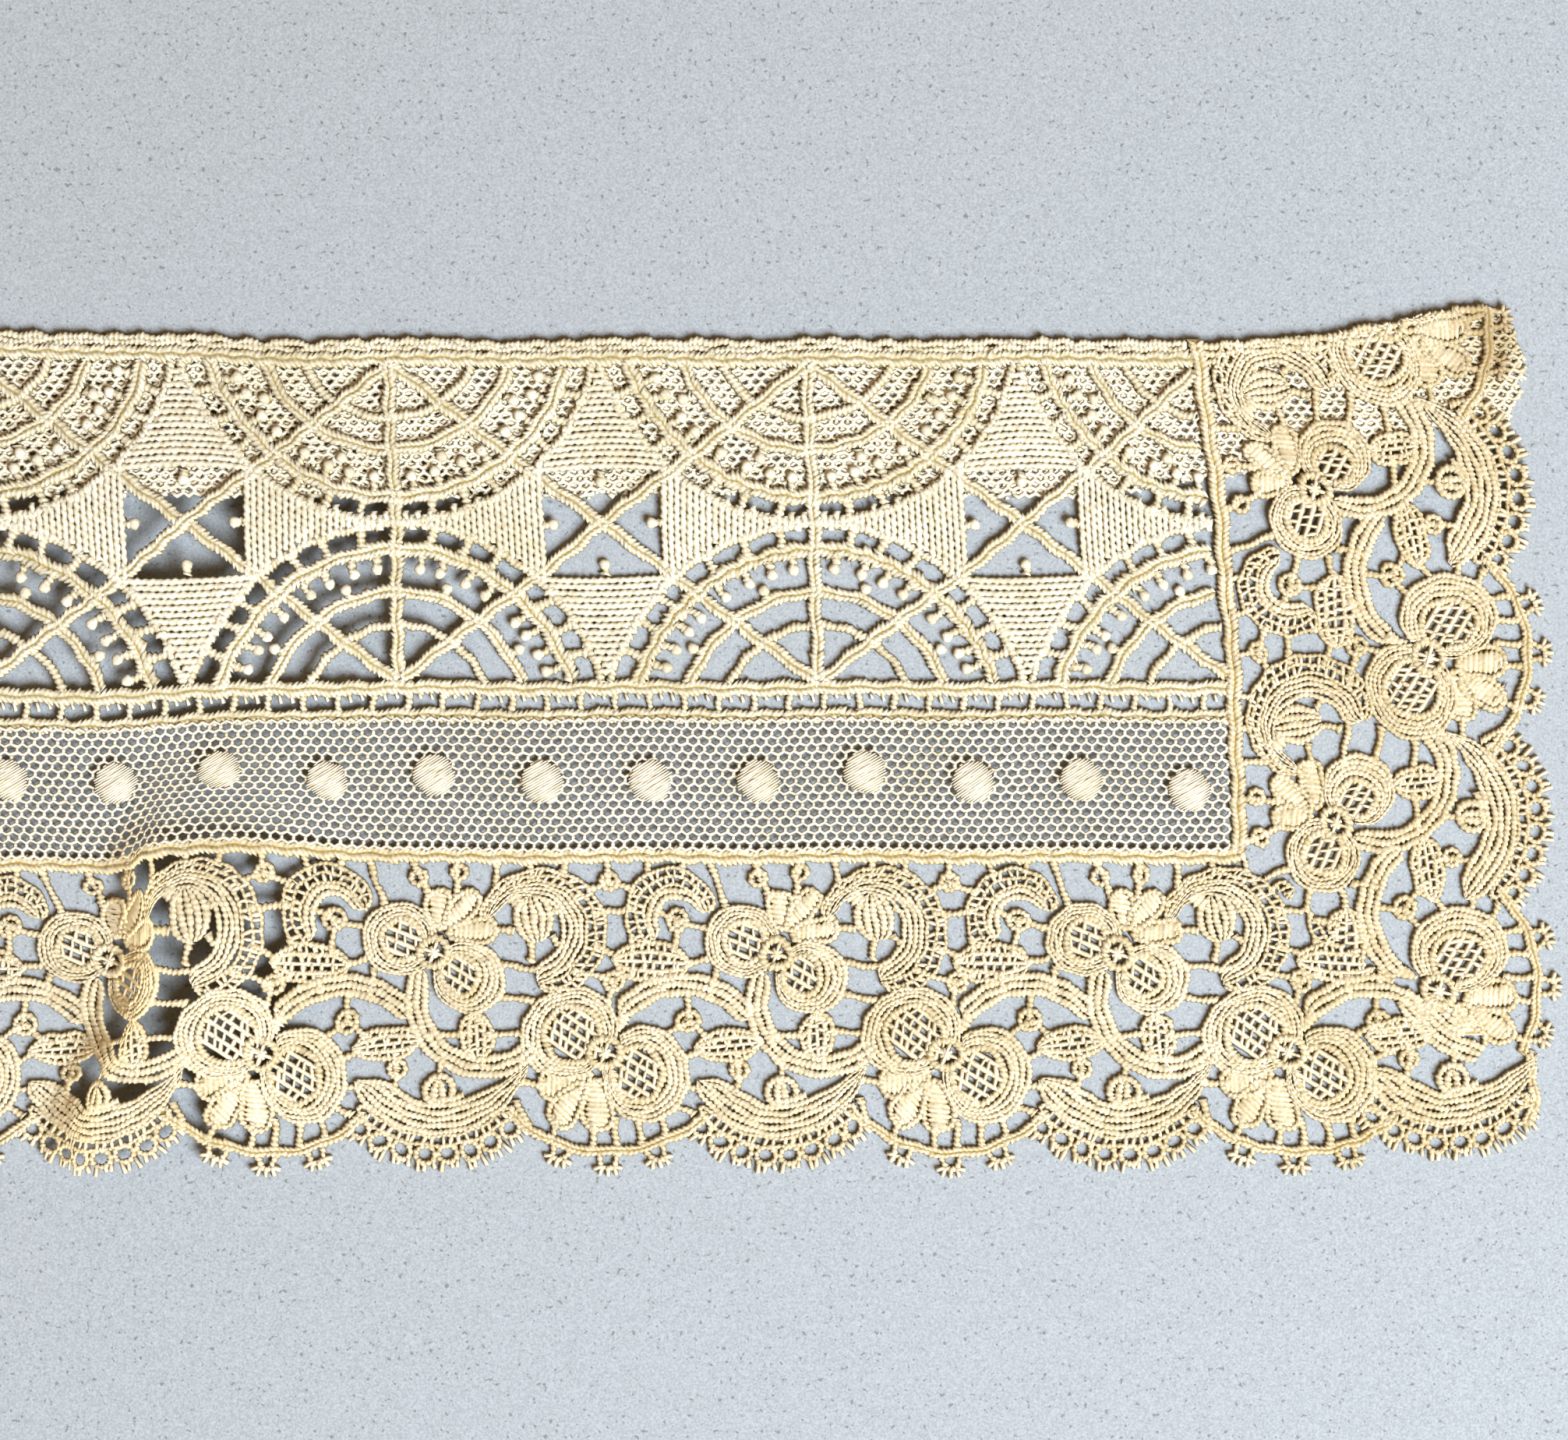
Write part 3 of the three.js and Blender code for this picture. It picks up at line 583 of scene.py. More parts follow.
# %% [markdown]
# ## The insertion
#
# Half wheels stand on the foot and hang from the head, and long spokes join their hubs, so that they
# cross in a window between each four wheels. The circles of a wheel are not drawn about its hub: each
# has its own centre behind it, so the outer ones are flatter. The round cords and spokes are double
# cord. The curved triangles round each window are close rows of stitches that narrow to the hubs.

# %% Measures of the insertion
INSERTION_RIGHT = -1.2
REPEATS = 3
WHEEL_PITCH = 54.1
FOOT_HUB = 22.2
HEAD_HUB = 62.9
WHEEL_EDGE = 27.6
WINDOW_HALF = (7.7, 6.6)
middle_line = (FOOT_HUB + HEAD_HUB) / 2
hubs = [LEFT_END + 0.1 + WHEEL_PITCH * k for k in range(REPEATS + 1)]
print("wheels stand at", np.round(hubs, 1))


def direction(angle):
    return np.array([math.cos(math.radians(angle)), math.sin(math.radians(angle))])


def turned(along, across, x, y, turn):
    cos, sin = direction(turn)
    return np.column_stack([x + along * cos - across * sin, y + along * sin + across * cos])


def oval(x, y, long, wide, turn, angle):
    return turned(long * np.cos(angle), wide * np.sin(angle), x, y, turn)


def arc(x, y, radius, start, stop):
    count = max(4, int(abs(math.radians(stop - start)) * radius / 0.3))
    return oval(x, y, radius, radius, 0.0, np.radians(np.linspace(start, stop, count + 1)))


def in_insertion(points):
    return (points[:, 0] > LEFT_END) & (points[:, 0] < INSERTION_RIGHT)


# %% Wheels and spokes
# Radii of the foot's wheels and of the head's
INNER_RING = (12.4, 11.8)
MIDDLE_RING = (17.3, 16.6)
OUTER_RING = 23.8
insertion = {"cord": [], "row": [], "pinhole": [], "thread": []}
insertion_balls = []


def sew(kind, points, width, height):
    insertion[kind].append(path(points, width, height))


def drop(radius):
    return 5.0 + 0.15 * (radius - 12)


def from_hub(hub, head, points):
    x, y = np.asarray(points).T
    return np.column_stack([hub + x, HEAD_HUB - y if head else FOOT_HUB + y])


def wheel_arc(hub, head, radius):
    edge = math.degrees(math.asin(drop(radius) / radius))
    return from_hub(hub, head, arc(0, -drop(radius), radius, edge, 180 - edge))


def wheel_point(hub, head, radius, angle):
    return from_hub(hub, head, [radius * direction(angle) - [0, drop(radius)]])[0]


slope = math.degrees(math.atan2(middle_line - FOOT_HUB, WHEEL_PITCH / 2))
RAYS = (16.5, slope + 13, 90, 167 - slope, 163.5)
for hub in hubs:
    for head in (False, True):
        sew("row", wheel_arc(hub, head, INNER_RING[head]), 1.25, 0.95)
        sew("cord", wheel_arc(hub, head, MIDDLE_RING[head]), 1.75, 1.0)
        outer = wheel_arc(hub, head, OUTER_RING)
        sew("cord", outer, random.uniform(1.6, 2.6, len(outer)), 1.15)
        sew("row", wheel_arc(hub, head, WHEEL_EDGE), 1.25, 1.0)
        for first, last in zip(RAYS, RAYS[1:]):
            for share in (0.25, 0.5, 0.75):
                angle = first + (last - first) * share + random.normal(0, 0.5)
                bar = [wheel_point(hub, head, radius, angle) for radius in (24.0, 25.8, WHEEL_EDGE)]
                sew("row", bar, [2.2, 1.0, 1.8], 0.85)
    sew("cord", [[hub, FOOT_HUB], [hub, HEAD_HUB]], 1.85, 1.15)
for left, right in zip(hubs, hubs[1:]):
    sew("cord", [[left, FOOT_HUB], [right, HEAD_HUB]], 1.8, 1.1)
    sew("cord", [[left, HEAD_HUB], [right, FOOT_HUB]], 1.8, 1.05)
print("cords in the wheels:", len(insertion["cord"]))

# %% [markdown]
# Picots are loops that the embroidery leaves standing on a cord. Here each is a ball on a short
# thread: four in each sector of a wheel inside its outer cord, one on the middle cord, and one on
# each edge of a window.


# %% Picots of the wheels and windows
def picot(root, tip):
    sew("row", [root, tip], [1.3, 0.9], 0.9)
    insertion_balls.append(tip)


for hub in hubs:
    for head in (False, True):
        for first, last in zip(RAYS, RAYS[1:]):
            for share in (0.16, 0.38, 0.6, 0.82):
                angle = first + (last - first) * share + random.normal(0, 0.6)
                picot(wheel_point(hub, head, 23.0, angle), wheel_point(hub, head, 20.9, angle))
            angle = first + (last - first) * 0.5
            picot(wheel_point(hub, head, 17.9, angle), wheel_point(hub, head, 19.1, angle))
for left in hubs[:-1]:
    centre = np.array([left + WHEEL_PITCH / 2, middle_line])
    for side in ((1, 0), (-1, 0), (0, 1), (0, -1)):
        edge = centre + np.array(side) * WINDOW_HALF
        picot(edge, edge - 1.3 * np.array(side))
print("picot balls:", len(insertion_balls))

# %% [markdown]
# The triangles are rows of stitches parallel to the window's edge. Each row stops at the wheel's
# outer edge, so their lengths come from the circle.


# %% Curved triangles round the windows
def half_chord(offset):
    return math.sqrt(max(WHEEL_EDGE ** 2 - (offset + drop(WHEEL_EDGE)) ** 2, 0))


def whole_stitches(half):
    return math.ceil(half / PINHOLE) * PINHOLE


ROW_PITCH = 0.86
UPRIGHT_PITCH = 0.94 * ROW_PITCH
ROW_WIDTH = 1.04
ROW_HEIGHT = 0.85
row_share = np.linspace(-1, 1, 9)
for left in hubs[:-1]:
    x = left + WHEEL_PITCH / 2
    for side in (-1, 1):
        # Rows that lie level, above and below the window; they sag a little
        away = side * (WINDOW_HALF[1] + 0.3)
        half_stitch = itertools.cycle((0, PINHOLE / 2))
        while abs(away) < middle_line - FOOT_HUB - 0.6:
            chord = half_chord(middle_line - FOOT_HUB - abs(away))
            half = whole_stitches(WHEEL_PITCH / 2 - chord - 0.2)
            along = x + half * row_share + next(half_stitch)
            sag = side * 0.05 * half * (1 - row_share ** 2)
            row = np.column_stack([along, middle_line + away + sag])
            sew("pinhole", row, ROW_WIDTH, ROW_HEIGHT)
            away += ROW_PITCH * side
        # Rows that stand upright, left and right of the window
        away = side * (WINDOW_HALF[0] + 0.3)
        while abs(away) < WHEEL_PITCH / 2 - 0.8:
            reach = WHEEL_PITCH / 2 - abs(away)
            circle = FOOT_HUB - drop(WHEEL_EDGE) + math.sqrt(WHEEL_EDGE ** 2 - reach ** 2)
            half = whole_stitches(max(middle_line - circle - 0.2, 0.3))
            along = middle_line + half * row_share + next(half_stitch)
            row = np.column_stack([np.full(9, x + away), along])
            sew("pinhole", row, ROW_WIDTH, ROW_HEIGHT)
            away += UPRIGHT_PITCH * side
print("stitch rows round the windows:", len(insertion["pinhole"]))

# %% [markdown]
# The foot of the insertion is a ladder between two double cords, and the head is a double cord with
# a rough overcast edge above it.

# %% Foot and head of the insertion
LADDER_PITCH = 4.46
run = np.linspace(LEFT_END + 0.1, INSERTION_RIGHT - 0.1, 240)


def level(y):
    return np.column_stack([run, np.full(len(run), y)])


# Columns: y, width, height
for y, width, height in ((21.5, 2.0, 1.1), (17.9, 1.9, 1.0), (63.7, 2.2, 1.15)):
    sew("cord", level(y), width, height)
for y in (65.0, 65.7):
    ragged_edge = level(y)
    ragged_edge[:, 1] += np.convolve(random.normal(0, 0.2, len(run)), np.ones(3) / 3, "same")
    sew("row", ragged_edge, random.uniform(0.8, 1.3, len(run)), 0.8)
for x in np.arange(LEFT_END + 2, INSERTION_RIGHT, LADDER_PITCH):
    sew("row", [[x, 18.4], [x + 0.1, 20.9]], 0.95, 0.75)
    for shift in (1.4, 2.9):
        tip = [x + shift + 0.3, 20.6 - random.uniform(0.5, 1.0)]
        sew("thread", [[x + shift, 20.7], tip], 0.5, 0.5)
print("hanging ends in the ladder:", len(insertion["thread"]))

# %% Make the insertion
lace_insertion = make_piece("insertion_cords", threads(
    insertion, ["cord"], RAISED_BY_TURNING, in_insertion,
), pale_lace, ["lace_insertion"])
insertion_stitches = make_piece("insertion_stitches", [
    *threads(insertion, ["row", "pinhole", "thread"], RAISED_BY_TURNING, in_insertion),
    balls(insertion_balls, 0.78, RAISED_BY_TURNING, in_insertion),
], pale_lace)

# %% [markdown]
# ## The net
#
# Machine net has six-sided cells. Rows of thread run in zigzags along the band, and short upright
# threads join each row to the next. Drawn as real thread, the net throws the fine shadow that makes
# its cells look dark.

# %% Net threads
ZIGZAG_RISE = 0.18
ZIGZAG_SIDE = math.hypot(0.5, 2 * ZIGZAG_RISE)
NET_FOOT = 1.2
NET_HEAD = 16.9
NET_CELL = 1.46
NET_PITCH = 1.03


def as_woven(paths):
    return paths


def net(area, cell, pitch, thread, inside=everywhere, bend=as_woven):
    left, right, foot, head = area
    zigzags = []
    uprights = []
    rows = int((head - foot) / pitch)
    x = np.arange(left, right, cell / 2)
    for row in range(rows + 1):
        up = np.where((np.arange(len(x)) + row) % 2 == 0, 1, -1)
        zigzag = np.column_stack([x, foot + row * pitch + up * cell * ZIGZAG_RISE])
        zigzags.append(path(zigzag, **thread))
        if row < rows:
            for top in zigzag[up == 1]:
                next_row = [top[0], top[1] + pitch - 2 * cell * ZIGZAG_RISE]
                uprights.append(path([top, next_row], **thread))
    return [
        sweep(bend(zigzags), NET_THREAD, cell * ZIGZAG_SIDE, inside=inside),
        sweep(bend(uprights), NET_THREAD, cell, inside=inside),
    ]


band_area = (LEFT_END + 0.2, INSERTION_RIGHT, NET_FOOT - 0.3, NET_HEAD + 0.5)
band_thread = {"width": 0.40, "height": 0.34, "base": 1.1}
band_layer = net(band_area, NET_CELL, NET_PITCH, band_thread)
net_band = make_piece("net_band_threads", band_layer, band_net, ["net_band"])

# %% [markdown]
# A wider strip of net is turned under the head of the insertion and the side edging. It lies double,
# and the cells of its two layers cross. Its raw edge shows through the lower third of the upper
# wheels, and its far corner is ragged and crumpled.


# %% Outline of the net turning
SIDE_WIDTH = 37.6


def inside_outline(points, outline):
    x, y = points[:, 0], points[:, 1]
    crossed = np.zeros(len(points), bool)
    for (x1, y1), (x2, y2) in zip(outline, np.roll(outline, -1, axis=0)):
        between = (y1 > y) != (y2 > y)
        crossed ^= between & (x < (x2 - x1) * (y - y1) / (y2 - y1 + 1e-12) + x1)
    return crossed


def side_head(x):
    return SIDE_HEAD + 5.1 * (np.clip(x, 0, SIDE_WIDTH) / SIDE_WIDTH) ** 1.7


TURNING = np.array([
    [-162, 45.8], [-118, 45.8], [-60, 46.2], [-20, 45.8], [0, 48.3], [12, 50.4], [24, 54],
    [36, 54.6], [39.4, 56.3], [41.2, 59.6], [42.2, 63.4], [41.6, 67.2], [39.8, 70.2], [37.6, 70.4],
    [30, side_head(30) - 0.6], [18, side_head(18) - 0.6], [6, side_head(6) - 0.6], [0, 65.2],
    [-20, 65.0], [-162, 65.0],
])


def in_turning(points):
    rough = points + 0.35 * np.sin(points[:, ::-1] * 4.1)
    return inside_outline(rough, TURNING)


print("corners of the turning:", len(TURNING))


# %% Two layers of the turning
TURNING_CELL = 1.45
TURNING_PITCH = 0.9
FAR_CORNER = np.array([38.0, 62.0])


def second_layer(paths):
    askew = []
    for one in paths:
        x, y = (one["points"] - FAR_CORNER).T
        crumple = smoothstep(x, -10, -2)
        bent = np.column_stack([
            38.2 + 0.965 * x + 0.06 * y - crumple * (0.2 * x - 0.3 * y) + 0.3 * np.sin(0.9 * y),
            62.3 - 0.012 * x + 0.955 * y - crumple * 0.3 * x + 0.3 * np.sin(1.1 * x),
        ])
        askew.append({**one, "points": bent})
    return askew


upper_area = (LEFT_END + 0.2, 43, 45.2, 71.5)
upper_thread = {"width": 0.5, "height": 0.36, "base": 0.42}
upper_layer = net(upper_area, TURNING_CELL, TURNING_PITCH, upper_thread, in_turning)
net_turning = make_piece("net_turning_threads", upper_layer, cotton_net, ["net_turning"])
lower_area = (LEFT_END - 6, 60, 20, 90)
lower_thread = {"width": 0.5, "height": 0.36, "base": 0.02}
lower_layer = net(lower_area, TURNING_CELL, TURNING_PITCH, lower_thread, in_turning, second_layer)
turned_back = make_piece("net_turning_back", lower_layer, cotton_net)

# %% [markdown]
# The dots on the net are satin stitch: slanting threads laid close together over a round patch, so
# that each dot is a low dome.

# %% Satin dots
DOT_RADIUS = 2.7
FIRST_DOT = -158.1
DOT_PITCH = 13.8
DOT_ROWS = (10.8, 10.5, 11.0, 9.5, 10.2, 9.6, 9.4, 9.6, 10.6, 9.6, 9.6, 8.5)
dot_paths = []
for number, dot_row in enumerate(DOT_ROWS):
    dot = np.array([FIRST_DOT + DOT_PITCH * number, dot_row])
    along = direction(32 + random.normal(0, 3))
    across = np.array([-along[1], along[0]])
    for offset in np.arange(-DOT_RADIUS + 0.12, DOT_RADIUS, 0.31):
        half = math.sqrt(DOT_RADIUS ** 2 - offset ** 2) * random.uniform(0.88, 1.1)
        dome = 0.45 * (1 - (offset / DOT_RADIUS) ** 2)
        line = dot + across * offset + along * np.linspace(-half, half, 5)[:, None]
        base = random.uniform(1.05, 1.17) + dome
        dot_paths.append(path(line, [0.2, 0.36, 0.40, 0.36, 0.2], 0.6, base))
dots = make_piece("satin_dots", [sweep(dot_paths, SATIN_THREAD, 0.7)], dot_thread)

# %% [markdown]
# ## The floral edging
#
# The edging repeats one group of motifs: two flowers with net in their petals, scrolls with ladders
# of holes, leaves, stems, and thin bars that tie them together. One repeat is drawn in its own
# measures, s along the heading and t out to the scallops, and is then set down along the bottom and
# the side. Drawing it once means that every stitch is only thought about once.

# %% One repeat as lists of paths
HEIGHTS = {"cord": 1.05, "row": 0.9, "close": 0.85, "thread": 0.65}
LAST_STEP = 59
repeat = {kind: [] for kind in HEIGHTS}


def count_paths(paths):
    return {kind: len(kept) for kind, kept in paths.items()}


def work(kind, points, width, height=None, base=LACE_BASE, closed=False):
    repeat[kind].append(path(points, width, height or HEIGHTS[kind], base, closed))


def lattice(place, lines, pitch, kind, width, rung, lean=0.0):
    curves = [place(np.linspace(0, 1, LAST_STEP + 1), line) for line in lines]
    for number, curve in enumerate(curves):
        beside = curves[number - 1] if number else curves[min(1, len(curves) - 1)]
        room = np.hypot(*(curve - beside).T)
        work(kind, curve, np.minimum(width, 0.3 + 0.75 * room))
    for number, (first, second) in enumerate(zip(curves, curves[1:])):
        length = np.hypot(*np.diff((first + second) / 2, axis=0).T).sum()
        count = max(2, int(length / pitch))
        for rung_number in range(count):
            share = (rung_number + 0.5 + 0.25 * (number % 2) + random.normal(0, 0.12)) / count
            start = first[int(LAST_STEP * share) % (LAST_STEP + 1)]
            end_share = np.clip(share + random.normal(lean, 0.14) / count, 0, 1)
            end = second[int(LAST_STEP * end_share)]
            if np.hypot(*(start - end)) > 0.45:
                work("thread", [start, end], rung * random.uniform(0.8, 1.35))


def fill_rows(place, lines):
    share = np.linspace(0, 1, 80)
    room = np.hypot(*(place(share, lines[1]) - place(share, lines[0])).T)
    for line in lines:
        work("close", place(share, line), np.clip(room * 1.25, 0.3, 1.3))


print("kinds of path in a repeat:", *repeat)

# %% [markdown]
# A petal is a band of four close rows round an eye of slanting net, open where it meets the flower's
# ring. The ring is set on top and has a small star in it. A lobe is a low dome of satin stitch with a
# row round it, wide outside and narrow at the ring.


# %% Petals, rings and lobes
def full_turn(step):
    return np.radians(np.arange(0, 360, step))


def petal(outer, eye, gap):
    angle = np.radians(np.arange(gap + 22, gap + 338, 3.0))
    rim = oval(*outer, angle - math.radians(outer[4]))
    inner = oval(*eye, 0.0, angle)
    room = np.hypot(*(rim - inner).T)
    for share in (0.09, 0.30, 0.51, 0.72):
        row = rim * (1 - share) + inner * share
        work("close", row, np.clip(0.30 * room, 0.4, 1.1), 0.95 - 0.15 * share)
    work("row", inner, 1.15, 1.05)

    def mesh(share, line):
        half = np.sqrt(max(1 - line ** 2, 0))
        along = (share * 2 - 1) * half * 1.05 + 0.08
        return turned(along * eye[2], np.full_like(share, line) * eye[3], eye[0], eye[1], gap)

    lattice(mesh, np.arange(-0.80, 0.82, 1.3 / eye[3]), 1.1, "thread", 0.74, 0.5, 0.4)


def ring(s, t, radius):
    work("row", oval(s, t, radius - 0.5, radius - 0.5, 0, full_turn(8)), 1.25, 1.1, 0.5, True)
    for turn in (20, 65, 110, 155):
        reach = (radius - 0.7 if turn in (20, 110) else 0.8) * direction(turn)
        work("thread", [[s, t] - reach, [s, t] + reach], 0.6, 0.7, 0.4)


def lobe(s, t, long, wide, turn):
    share = np.linspace(-0.96, 0.96, 25)
    along = direction(turn)
    axis = np.array([s, t]) + share[:, None] * (long - 0.2) * along
    work("close", axis, 2 * (wide - 0.2) * (1 - share ** 4) * (1 - 0.25 * share), 0.7, 0.24)
    cos, sin = np.cos(full_turn(6)), np.sin(full_turn(6))
    forward = np.sign(cos) * np.abs(cos) ** 0.85 * (long - 0.4)
    sideways = np.sign(sin) * np.abs(sin) ** 0.85 * (wide - 0.35) * (1 - 0.25 * cos)
    rim = np.array([s, t]) + forward[:, None] * along + sideways[:, None] * along[::-1] * [-1, 1]
    work("row", rim, 0.9, 0.95, 0.3, True)


# The petal's oval, its eye and the angle where it opens
petal((-4.4, 22.6, 6.5, 5.7, -25), (-4.0, 22.9, 3.7, 3.7), 36)
petal((5.4, 28.1, 5.6, 6.2, 0), (4.3, 28.1, 3.2, 3.6), 212)
petal((-26.0, 10.8, 4.9, 4.7, 0), (-25.7, 10.9, 2.7, 2.7), 22)
petal((-17.2, 15.7, 4.7, 4.6, 0), (-18.4, 15.4, 2.4, 2.6), 212)
ring(0.1, 25.3, 2.4)
ring(-21.7, 12.5, 2.3)
for shape in (
    (-5.0, 28.8, 3.6, 2.2, -12),
    (-4.4, 31.8, 3.5, 2.1, -58),
    (-0.8, 32.0, 3.6, 2.2, 262),
    (-21.0, 7.0, 2.8, 1.85, 85),
    (-18.2, 7.0, 3.4, 1.7, 130),
    (-16.6, 9.7, 3.4, 1.75, 172),
):
    lobe(*shape)
print("paths of the flowers:", count_paths(repeat))

# %% [markdown]
# A scroll is the area between two arcs. From the outside it has two ladders of holes and then close
# rows. The lattice lays any number of lines between the arcs, with rungs between them. A crescent
# leaf is all close rows, between the scallop's arc and an inner edge that swells, with a small curl
# on it.


# %% Areas between two curves
def rounded(share):
    near_end = np.clip((np.abs(share * 2 - 1) - 0.84) / 0.16, 0, 0.98)
    return np.sqrt(1 - near_end ** 2)


def between(first, second):
    def place(share, line):
        line = 0.5 + (line - 0.5) * rounded(share)[:, None]
        return (1 - line) * first(share) + line * second(share)

    return place


def curve_of_arc(s, t, radius, start, stop):
    return lambda share: oval(s, t, radius, radius, 0, np.radians(start + (stop - start) * share))


def along_arc(s, t, radius, start, stop, width):
    def place(share, line):
        angle = np.radians(start + (stop - start) * share)
        reach = radius + line * rounded(share) * width / 2
        return oval(s, t, reach, reach, 0, angle)

    return place


def leaf_taper(share):
    return 1 - np.abs(share) ** 3.4


def oval_taper(share):
    return np.sqrt(1 - 0.95 * share ** 2)


def along_shape(s, t, long, wide, turn, taper):
    def place(share, line):
        along = share * 2 - 1
        return turned(along * long, line * wide * taper(along), s, t, turn)

    return place


print("width of a leaf halfway to its tip:", round(leaf_taper(0.5), 2))

# %% Scrolls, stems and leaves
SCALLOP = np.array([-21.5, 23.6])
large_scroll = between(
    curve_of_arc(-8.0, 10.0, 8.5, -165, 84),
    curve_of_arc(-9.8, 9.5, 4.4, -165, 84),
)
small_scroll = between(
    curve_of_arc(8.6, 7.4, 6.0, 130, 356),
    curve_of_arc(9.5, 8.2, 2.6, 140, 340),
)
# Columns: angle, reach from the scallop's centre
CRESCENT = np.array([
    [15, 11.9], [25, 10.7], [39, 9.5], [52, 8.9], [68, 8.3],
    [100, 8.3], [116, 8.0], [136, 8.1], [146, 9.0], [153, 10.4],
])


def crescent_edge(share):
    angle = CRESCENT[0, 0] + (CRESCENT[-1, 0] - CRESCENT[0, 0]) * share
    reach = np.interp(angle, CRESCENT[:, 0], CRESCENT[:, 1])
    return oval(*SCALLOP, reach, reach, 0, np.radians(angle))


crescent = between(curve_of_arc(*SCALLOP, 12.4, 15, 153), crescent_edge)
lattice(large_scroll, (0.04, 0.24, 0.44), 1.1, "row", 0.62, 0.5)
fill_rows(large_scroll, (0.56, 0.68, 0.80, 0.93))
lattice(small_scroll, (0.06, 0.32, 0.58), 1.1, "row", 0.6, 0.5)
fill_rows(small_scroll, (0.72, 0.92))
fill_rows(crescent, (0.09, 0.30, 0.51, 0.72, 0.93))
work("close", [[-12.2, 5.0], [-10.2, 6.2]], 2.4)
fill_rows(along_shape(-8.9, 8.0, 3.0, 2.6, 80, oval_taper), (-0.8, -0.4, 0.0, 0.4, 0.8))
fill_rows(along_shape(-21.0, 30.6, 1.7, 1.1, 90, oval_taper), (-0.5, 0.5))
curl = np.concatenate([arc(*SCALLOP, 7.9, 62, 84), arc(-20.9, 30.2, 1.8, 100, 400)])
work("close", curl, 1.2, 0.95)
for stem in ((10.5, 26.9, 10.4, -141, -37, 3.1), (-15.4, 18.4, 8.7, 42, 205, 3.1)):
    fill_rows(along_arc(*stem), (-0.66, 0.0, 0.66))
work("close", [[3.0, 20.0], [2.4, 21.2], [2.0, 22.6]], [2.6, 1.9, 0.7])
for leaf in ((6.2, 13.7, 5.0, 2.6, 2), (-27.6, 24.2, 4.4, 2.1, -6), (-16.3, 23.2, 3.1, 2.2, 85)):
    leaf_area = along_shape(*leaf, leaf_taper)
    lattice(leaf_area, (-0.46, 0.0, 0.46), 1.05, "thread", 0.62, 0.56)
    lattice(leaf_area, (-0.88, -0.46), 1.05, "row", 0.8, 0.56)
    lattice(leaf_area, (0.46, 0.88), 1.05, "row", 0.8, 0.56)
print("paths with scrolls and leaves:", count_paths(repeat))

# %% [markdown]
# The scallops end in a ladder with a row of loops and short spikes, or in a cord with three picots.
# Bars tie the motifs to each other and to the heading, and small ringlets sit where bars meet.

# %% Scallop edges
CORD_SCALLOP = np.array([0.9, 19.9])
LOOPS = 8
FIRST_LOOP = 49.5
LOOP_PITCH = 11.6


def spike(root, tip):
    work("thread", [root, tip], 0.65, 0.65)


lattice(along_arc(*SCALLOP, 13.1, 40, 140, 1.2), (-1.0, 1.0), 1.1, "row", 0.65, 0.55)
for number in range(LOOPS):
    angle = FIRST_LOOP + number * LOOP_PITCH
    loop = SCALLOP + 14.9 * direction(angle)
    work("row", oval(*loop, 1.1, 1.25, angle, full_turn(20)), 0.8, 0.85, closed=True)
    for lean in (-4.2, -0.8, 2.6):
        root = SCALLOP + 15.7 * direction(angle + lean)
        reach = 17.1 + random.uniform(-0.5, 0.3)
        spike(root, SCALLOP + reach * direction(angle + lean + random.uniform(-1.5, 1.5)))
work("cord", arc(*CORD_SCALLOP, 18.1, 46, 135), 1.45, 0.95)
for head in np.array([[-5.7, 38.6], [0.7, 39.9], [7.2, 38.9]]):
    outwards = math.degrees(math.atan2(*(head - CORD_SCALLOP)[::-1]))
    for turn in (-1, 1):
        foot = CORD_SCALLOP + 18.4 * direction(outwards + 4.0 * turn)
        knee = head + 0.7 * direction(outwards + 90 * turn)
        work("row", [foot, knee, head + 0.3 * (knee - foot)], 0.8, 0.8)
        for lean in (20, 75):
            spike(knee, knee + 1.2 * direction(outwards + lean * turn))
    spike(head, head + 1.3 * direction(outwards))
print("paths with the scallop edges:", count_paths(repeat))

